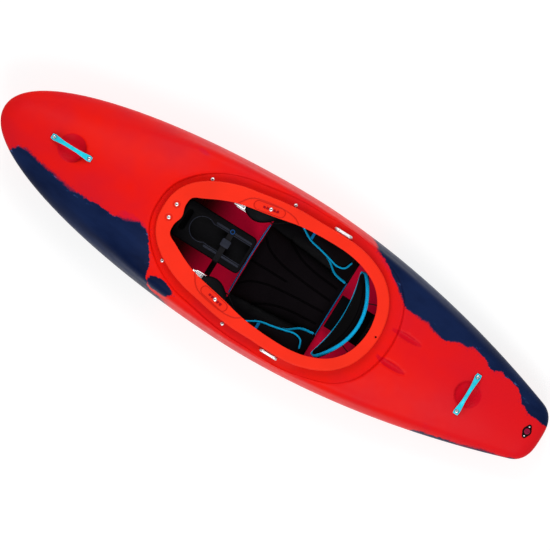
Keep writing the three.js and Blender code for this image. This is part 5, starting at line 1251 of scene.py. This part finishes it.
def hip_pads():
    for name, side in SIDES:
        pillow(f"hip_cushion_{name}", f"hip_pad_{name}", HIP_SHARES, side, HIP_LOW, HIP_HEIGHT, 3.0)
        pillow(f"hip_bolster_cushion_{name}", f"hip_bolster_{name}", BOLSTER_SHARES, side, BOLSTER_LOW,
               BOLSTER_HEIGHT, 2.0)
        top = edge_line(HIP_SHARES, side, 0, 7, HIP_LOW + HIP_HEIGHT - 2.5, 2.5)
        lower = edge_line(BOLSTER_SHARES, side, 0, 4, BOLSTER_LOW + BOLSTER_HEIGHT - 2.5, 3.0)
        bands(f"hip_piping_{name}", "piping", "boat", [(top, np.linspace(4.0, 3.2, len(top))),
                                                       (lower, np.linspace(3.4, 4.8, len(lower)))])
        tab = curve_through([(TAB_X, side * y, z) for y, z in TAB_LINE], 5)
        bands(f"hip_tab_{name}", "shaded_piping", "boat", [(tab, 5.5)], flat=0.16)
        stitching(f"hip_stitching_{name}", "boat",
                  [edge_line(HIP_SHARES, side, 0, 7, HIP_LOW + HIP_HEIGHT + 1, 7.5)])


# Backband
BAND_HALF, BAND_THICK, BAND_FACING, PIPING_COUNT = 176.0, 18.0, (0.9, 0.0, 0.43), 220
BAND_END, BAND_MIDDLE = (-268.0, -297.0, 152.0, 214.0), (-303.0, -367.0, 120.0, 248.0)
CROWN_SHARES = [(0.0, 0.2), (0.02, 0.7), (0.12, 1.0), (0.5, 1.08), (0.88, 1.0), (0.98, 0.7), (1.0, 0.2)]
REAR_SHARES = [(0.9, 0.02), (0.5, 0.02), (0.1, 0.02)]
BAND_SEAM, BAND_STITCHES, BAND_SEAM_DEPTH, BAND_SEAM_WIDTH = 0.77, (0.745, 0.795), 2.6, 3.0
EDGE_OUT, EDGE_THIN, EDGE_THICKER = 9.0, 2.8, 4.0


def band_place(t, up, out=0.0):
    """A place on the backband: across it, up it and out from its back."""
    bend = 1 - t**2
    bottom, top, low, high = (a + (b - a) * bend for a, b in zip(BAND_END, BAND_MIDDLE))
    lean = np.array([top - bottom, high - low])
    lean /= np.linalg.norm(lean)
    x, z = bottom + (top - bottom) * up, low + (high - low) * up
    return x + out * lean[1], t * BAND_HALF, z - out * lean[0]


def band_seams(obj, *heights):
    """Lines across the backband's pad at shares of its height, on its surface."""
    back = surface_finder(obj, tuple(-v for v in BAND_FACING))
    return [back([band_place(t, up, 8.0) for t in np.linspace(-0.86, 0.86, 70)]) for up in heights]


def backband():
    """The backband's pad with a stitched line, and piping round its edge that is thick along the top."""
    skin = Skin()
    profile = curve_through(CROWN_SHARES, 5)
    profile = np.concatenate([profile, REAR_SHARES])
    rows = []
    for t in np.linspace(-0.985, 0.985, 40):
        thick = (BAND_THICK - 2.5) * (0.6 + 0.4 * float(smooth(1.0, 0.88, abs(t))))
        rows.append(np.array([band_place(t, 0.015 + 0.97 * up, 0.4 + out * thick) for up, out in profile]))
    skin.add_rows(rows)
    skin.cap(rows)
    obj = skin.object("backband_cushion")
    puffed(obj, 3.0)
    carve(obj, band_seams(obj, BAND_SEAM), BAND_SEAM_DEPTH, BAND_SEAM_WIDTH, BAND_FACING)
    settle(obj, "band_padding", "backband", "backband_pad")
    stitching("backband_stitching", "backband", band_seams(obj, *BAND_STITCHES))
    turn = turns(160)
    across = np.sign(np.cos(turn)) * np.abs(np.cos(turn)) ** 0.8
    line, radius = [], []
    for a, t in zip(turn, across):
        up = 0.5 + 0.5 * np.sign(math.sin(a)) * abs(math.sin(a)) ** 0.35
        line.append(band_place(float(t) * 0.985, up, EDGE_OUT))
        radius.append(EDGE_THIN + EDGE_THICKER * float(smooth(0.3, 0.95, up)))
    thick = np.interp(np.linspace(0, 1, PIPING_COUNT), np.linspace(0, 1, len(radius)), radius)
    bands("backband_piping", "piping", "backband", [(evenly_closed(line), thick)], reference=BAND_FACING,
          closed=True, sides=16)


def evenly_closed(line):
    line = np.concatenate([line, line[:1]])
    at, known = np.linspace(0, 1, PIPING_COUNT, endpoint=False), np.linspace(0, 1, len(line))
    return np.column_stack([np.interp(at, known, line[:, k]) for k in range(3)])


# Cords that hold the backband back
CORD_RADIUS, CORD_START, CORD_LEAD, CORD_END = 2.0, (-341.1, 84.0), -408.0, -480.0
CORD_Z, CORD_Y, KNOT_BAND, KNOT_DEEP, KNOT_WIDE = 210.0, 102.0, 1.8, 1.6, 2.0


def back_cords():
    for name, side in SIDES:
        start, lead = np.array(CORD_START), np.array([CORD_LEAD, CORD_Y])
        middle = np.array([(start[0] + lead[0]) / 2, CORD_Y])
        plan = quarter(start, middle, lead, np.linspace(0, 1, 15))
        plan += [np.array([x, CORD_Y]) for x in np.linspace(CORD_LEAD, CORD_END, 13)[1:]]
        line = np.array([(x, side * y, CORD_Z) for x, y in plan])
        cord = bands(f"back_cord_{name}", "cord", "backband", [(line, CORD_RADIUS)],
                     [f"backband_cord_{name}"], sides=14)
        turn = turns(60)
        knot = np.column_stack([CORD_END + KNOT_DEEP * np.sin(3 * turn),
                                side * CORD_Y + KNOT_WIDE * (np.sin(turn) + 2 * np.sin(2 * turn)) / 1.4,
                                CORD_Z + KNOT_WIDE * (np.cos(turn) - 2 * np.cos(2 * turn)) / 1.4])
        end = bands(f"back_cord_knot_{name}", "cord", "backband", [(knot, KNOT_BAND)],
                    reference=(1, 0.01, 0.02), closed=True, sides=10)
        length = float(np.linalg.norm(np.diff(line, axis=0), axis=1).sum()) * MM


# Step-out pillar: painted highlights as grey strips beside the bottle's tray and a grey band round its edge
TRAY_END, TRAY_RADIUS, TRAY_NECK, TRAY_MOUTH, PILLAR_TOP = 298.0, 45.0, 38.0, 118.0, 185.0
EDGE_HIGHLIGHT_RADIUS, STRIP_SPANS, STRIP_Y, STRIP_HALF = 1.7, ((121, 187), (213, 262)), 47.5, 4.0


def tray_highlight_strips():
    turn = np.radians(np.linspace(-125, 125, 40))
    arc = np.column_stack([np.cos(turn), np.sin(turn)]) * (TRAY_RADIUS + 1.6) + [TRAY_END, 0]
    neck = TRAY_NECK + 1.6
    plan = np.concatenate([[(TRAY_MOUTH, -neck), (TRAY_END - TRAY_RADIUS, -neck)], arc,
                           [(TRAY_END - TRAY_RADIUS, neck), (TRAY_MOUTH, neck)]])
    # lip is a grey band that paints the highlight round the tray's edge
    lip = at_height(evenly(plan, 4.0), PILLAR_TOP + 0.3)
    bands("tray_edge_highlight", "grey_plastic", "boat", [(lip, EDGE_HIGHLIGHT_RADIUS)], flat=0.7, sides=10)
    # Grey strips that paint highlights on the pillar's flat ridges beside the tray
    strips = [[(x, side * STRIP_Y, PILLAR_TOP + 0.4) for x in np.linspace(*span, 12)]
              for side in (1, -1) for span in STRIP_SPANS]
    bands("tray_highlight_strips", "grey_plastic", "boat", [(line, STRIP_HALF) for line in strips], flat=0.22, sides=16)


def foot_pads():
    for name, _ in SIDES:
        finished(f"foot_pad_{name}", "grey_foam", 1.5)


def pairs(*stems):
    return [f"{stem}_{name}" for stem in stems for name, _ in SIDES]


# The frame's rigid pieces, with rounded edges and their finish
FINISHES = {
    "black_plastic": ["front_pillar", "seat_pan", *pairs("thigh_brace"), "backband_shell",
                      *pairs("cord_eye", "foot_plate"), "drain_housing", *pairs("ladder_strap")],
    "black_foam": ["bow_pillar", "rear_pillar"],
    "webbing": ["bottle_strap", *pairs("backband_strap")],
    "grey_plastic": ["bottle_strap_buckle"],
    "blue_plastic": ["bottle_strap_ring"],
    "handle_plastic": ["bow_handle", "stern_handle"],
    "plug_rubber": ["drain_plug"],
    "steel": pairs("seat_rail", "foot_rail", "ratchet_base", "ratchet_lever", "ratchet_pawl", "drain_screw"),
}
BEVELS = {"front_pillar": 2.0, "bow_pillar": 3.0, "rear_pillar": 3.0, "bow_handle": 3.0, "stern_handle": 3.0,
          "bottle_strap": 0.5, "bottle_strap_ring": 0.0, **dict.fromkeys(pairs("ladder_strap"), 0.3),
          **dict.fromkeys(pairs("backband_strap"), 0.4)}


def rigid_pieces():
    for material, names in FINISHES.items():
        for name in names:
            finished(name, material, BEVELS.get(name, 0.6))
    for name in [n for n in nodes if "_screw" in n and not n.startswith("drain")]:
        screw(name)
    for name, along in (("bow_handle_finish", 0), ("stern_handle_finish", 1)):
        waisted(bpy.data.objects[name].data, along)
    rescue_bars()


def waisted(mesh, along):
    """Narrows a handle's middle and widens its ends."""
    points, aside = points_of(mesh), 1 - along
    low, high = points.min(0), points.max(0)
    middle = (low + high) / 2
    share = np.abs(points[:, along] - middle[along]) / (high[along] - low[along]) * 2
    wide = 0.8 + 0.34 * smooth(0.05, 0.85, share)
    points[:, aside] = middle[aside] + (points[:, aside] - middle[aside]) * wide
    move_points(mesh, points)


# Studio
CAMERA_LENS, CAMERA_PLACE, TOWARD_STERN = 457.0, (-0.0102, 0.0016, 25.2), (0.8488, 0.5287)
LIGHT_AIM = (0, 0, 0.2)


def camera():
    """A long lens straight above, turned so that the boat lies across the picture as in the photo."""
    data = bpy.data.cameras.new("camera")
    data.lens, data.sensor_width = CAMERA_LENS, 36
    right, down = TOWARD_STERN
    turn = Matrix(((-right, down, 0), (-down, -right, 0), (0, 0, 1)))
    obj = link("camera", data)
    obj.matrix_world = Matrix.Translation(CAMERA_PLACE) @ turn.to_4x4()
    bpy.context.scene.camera = obj


def softbox(name, place, size, energy):
    data = bpy.data.lights.new(name, "AREA")
    data.shape, data.energy = "RECTANGLE", energy
    data.size, data.size_y = size
    obj = link(name, data)
    obj.location = place
    obj.rotation_euler = (Vector(LIGHT_AIM) - Vector(place)).to_track_quat("-Z", "Y").to_euler()


FLOOR_HALF, FLOOR_GLOW, WORLD_LIGHT = 60, 0.69, 0.42
SOFTBOXES = [("key", (-1.2, 2.2, 4.2), (2.6, 2.6), 110), ("fill", (1.2, -2.4, 4.0), (2.6, 2.6), 86),
             ("port_strip", (0.2, 3.2, 0.9), (3.0, 0.8), 8),
             ("starboard_strip", (0.4, -3.2, 0.9), (3.0, 0.8), 12)]


def studio():
    mesh = bpy.data.meshes.new("floor")
    far = FLOOR_HALF
    mesh.from_pydata([(-far, -far, 0), (far, -far, 0), (far, far, 0), (-far, far, 0)], [], [(0, 1, 2, 3)])
    floor = link("floor", mesh)
    m = Nodes("floor", 0.9, specular=0.05)
    m.colour(m.mix(m.noise(3.0, 2.0), (0.38, 0.38, 0.38), (0.365, 0.365, 0.365)))
    m.set(m.shader, {"Emission Color": (1, 1, 1, 1), "Emission Strength": FLOOR_GLOW})
    mesh.materials.append(m.material)
    for box in SOFTBOXES:
        softbox(*box)
    world = bpy.data.worlds.new("world")
    world.use_nodes = True
    m.set(world.node_tree.nodes["Background"], {"Color": (1, 1, 1, 1), "Strength": WORLD_LIGHT})
    bpy.context.scene.world = world
    bpy.context.scene.view_settings.view_transform = "Standard"


camera()
back_cords()
studio()
hull()
seat_threads(*seat_cushion())
seat_piping()
hip_pads()
backband()
tray_highlight_strips()
rigid_pieces()
foot_pads()
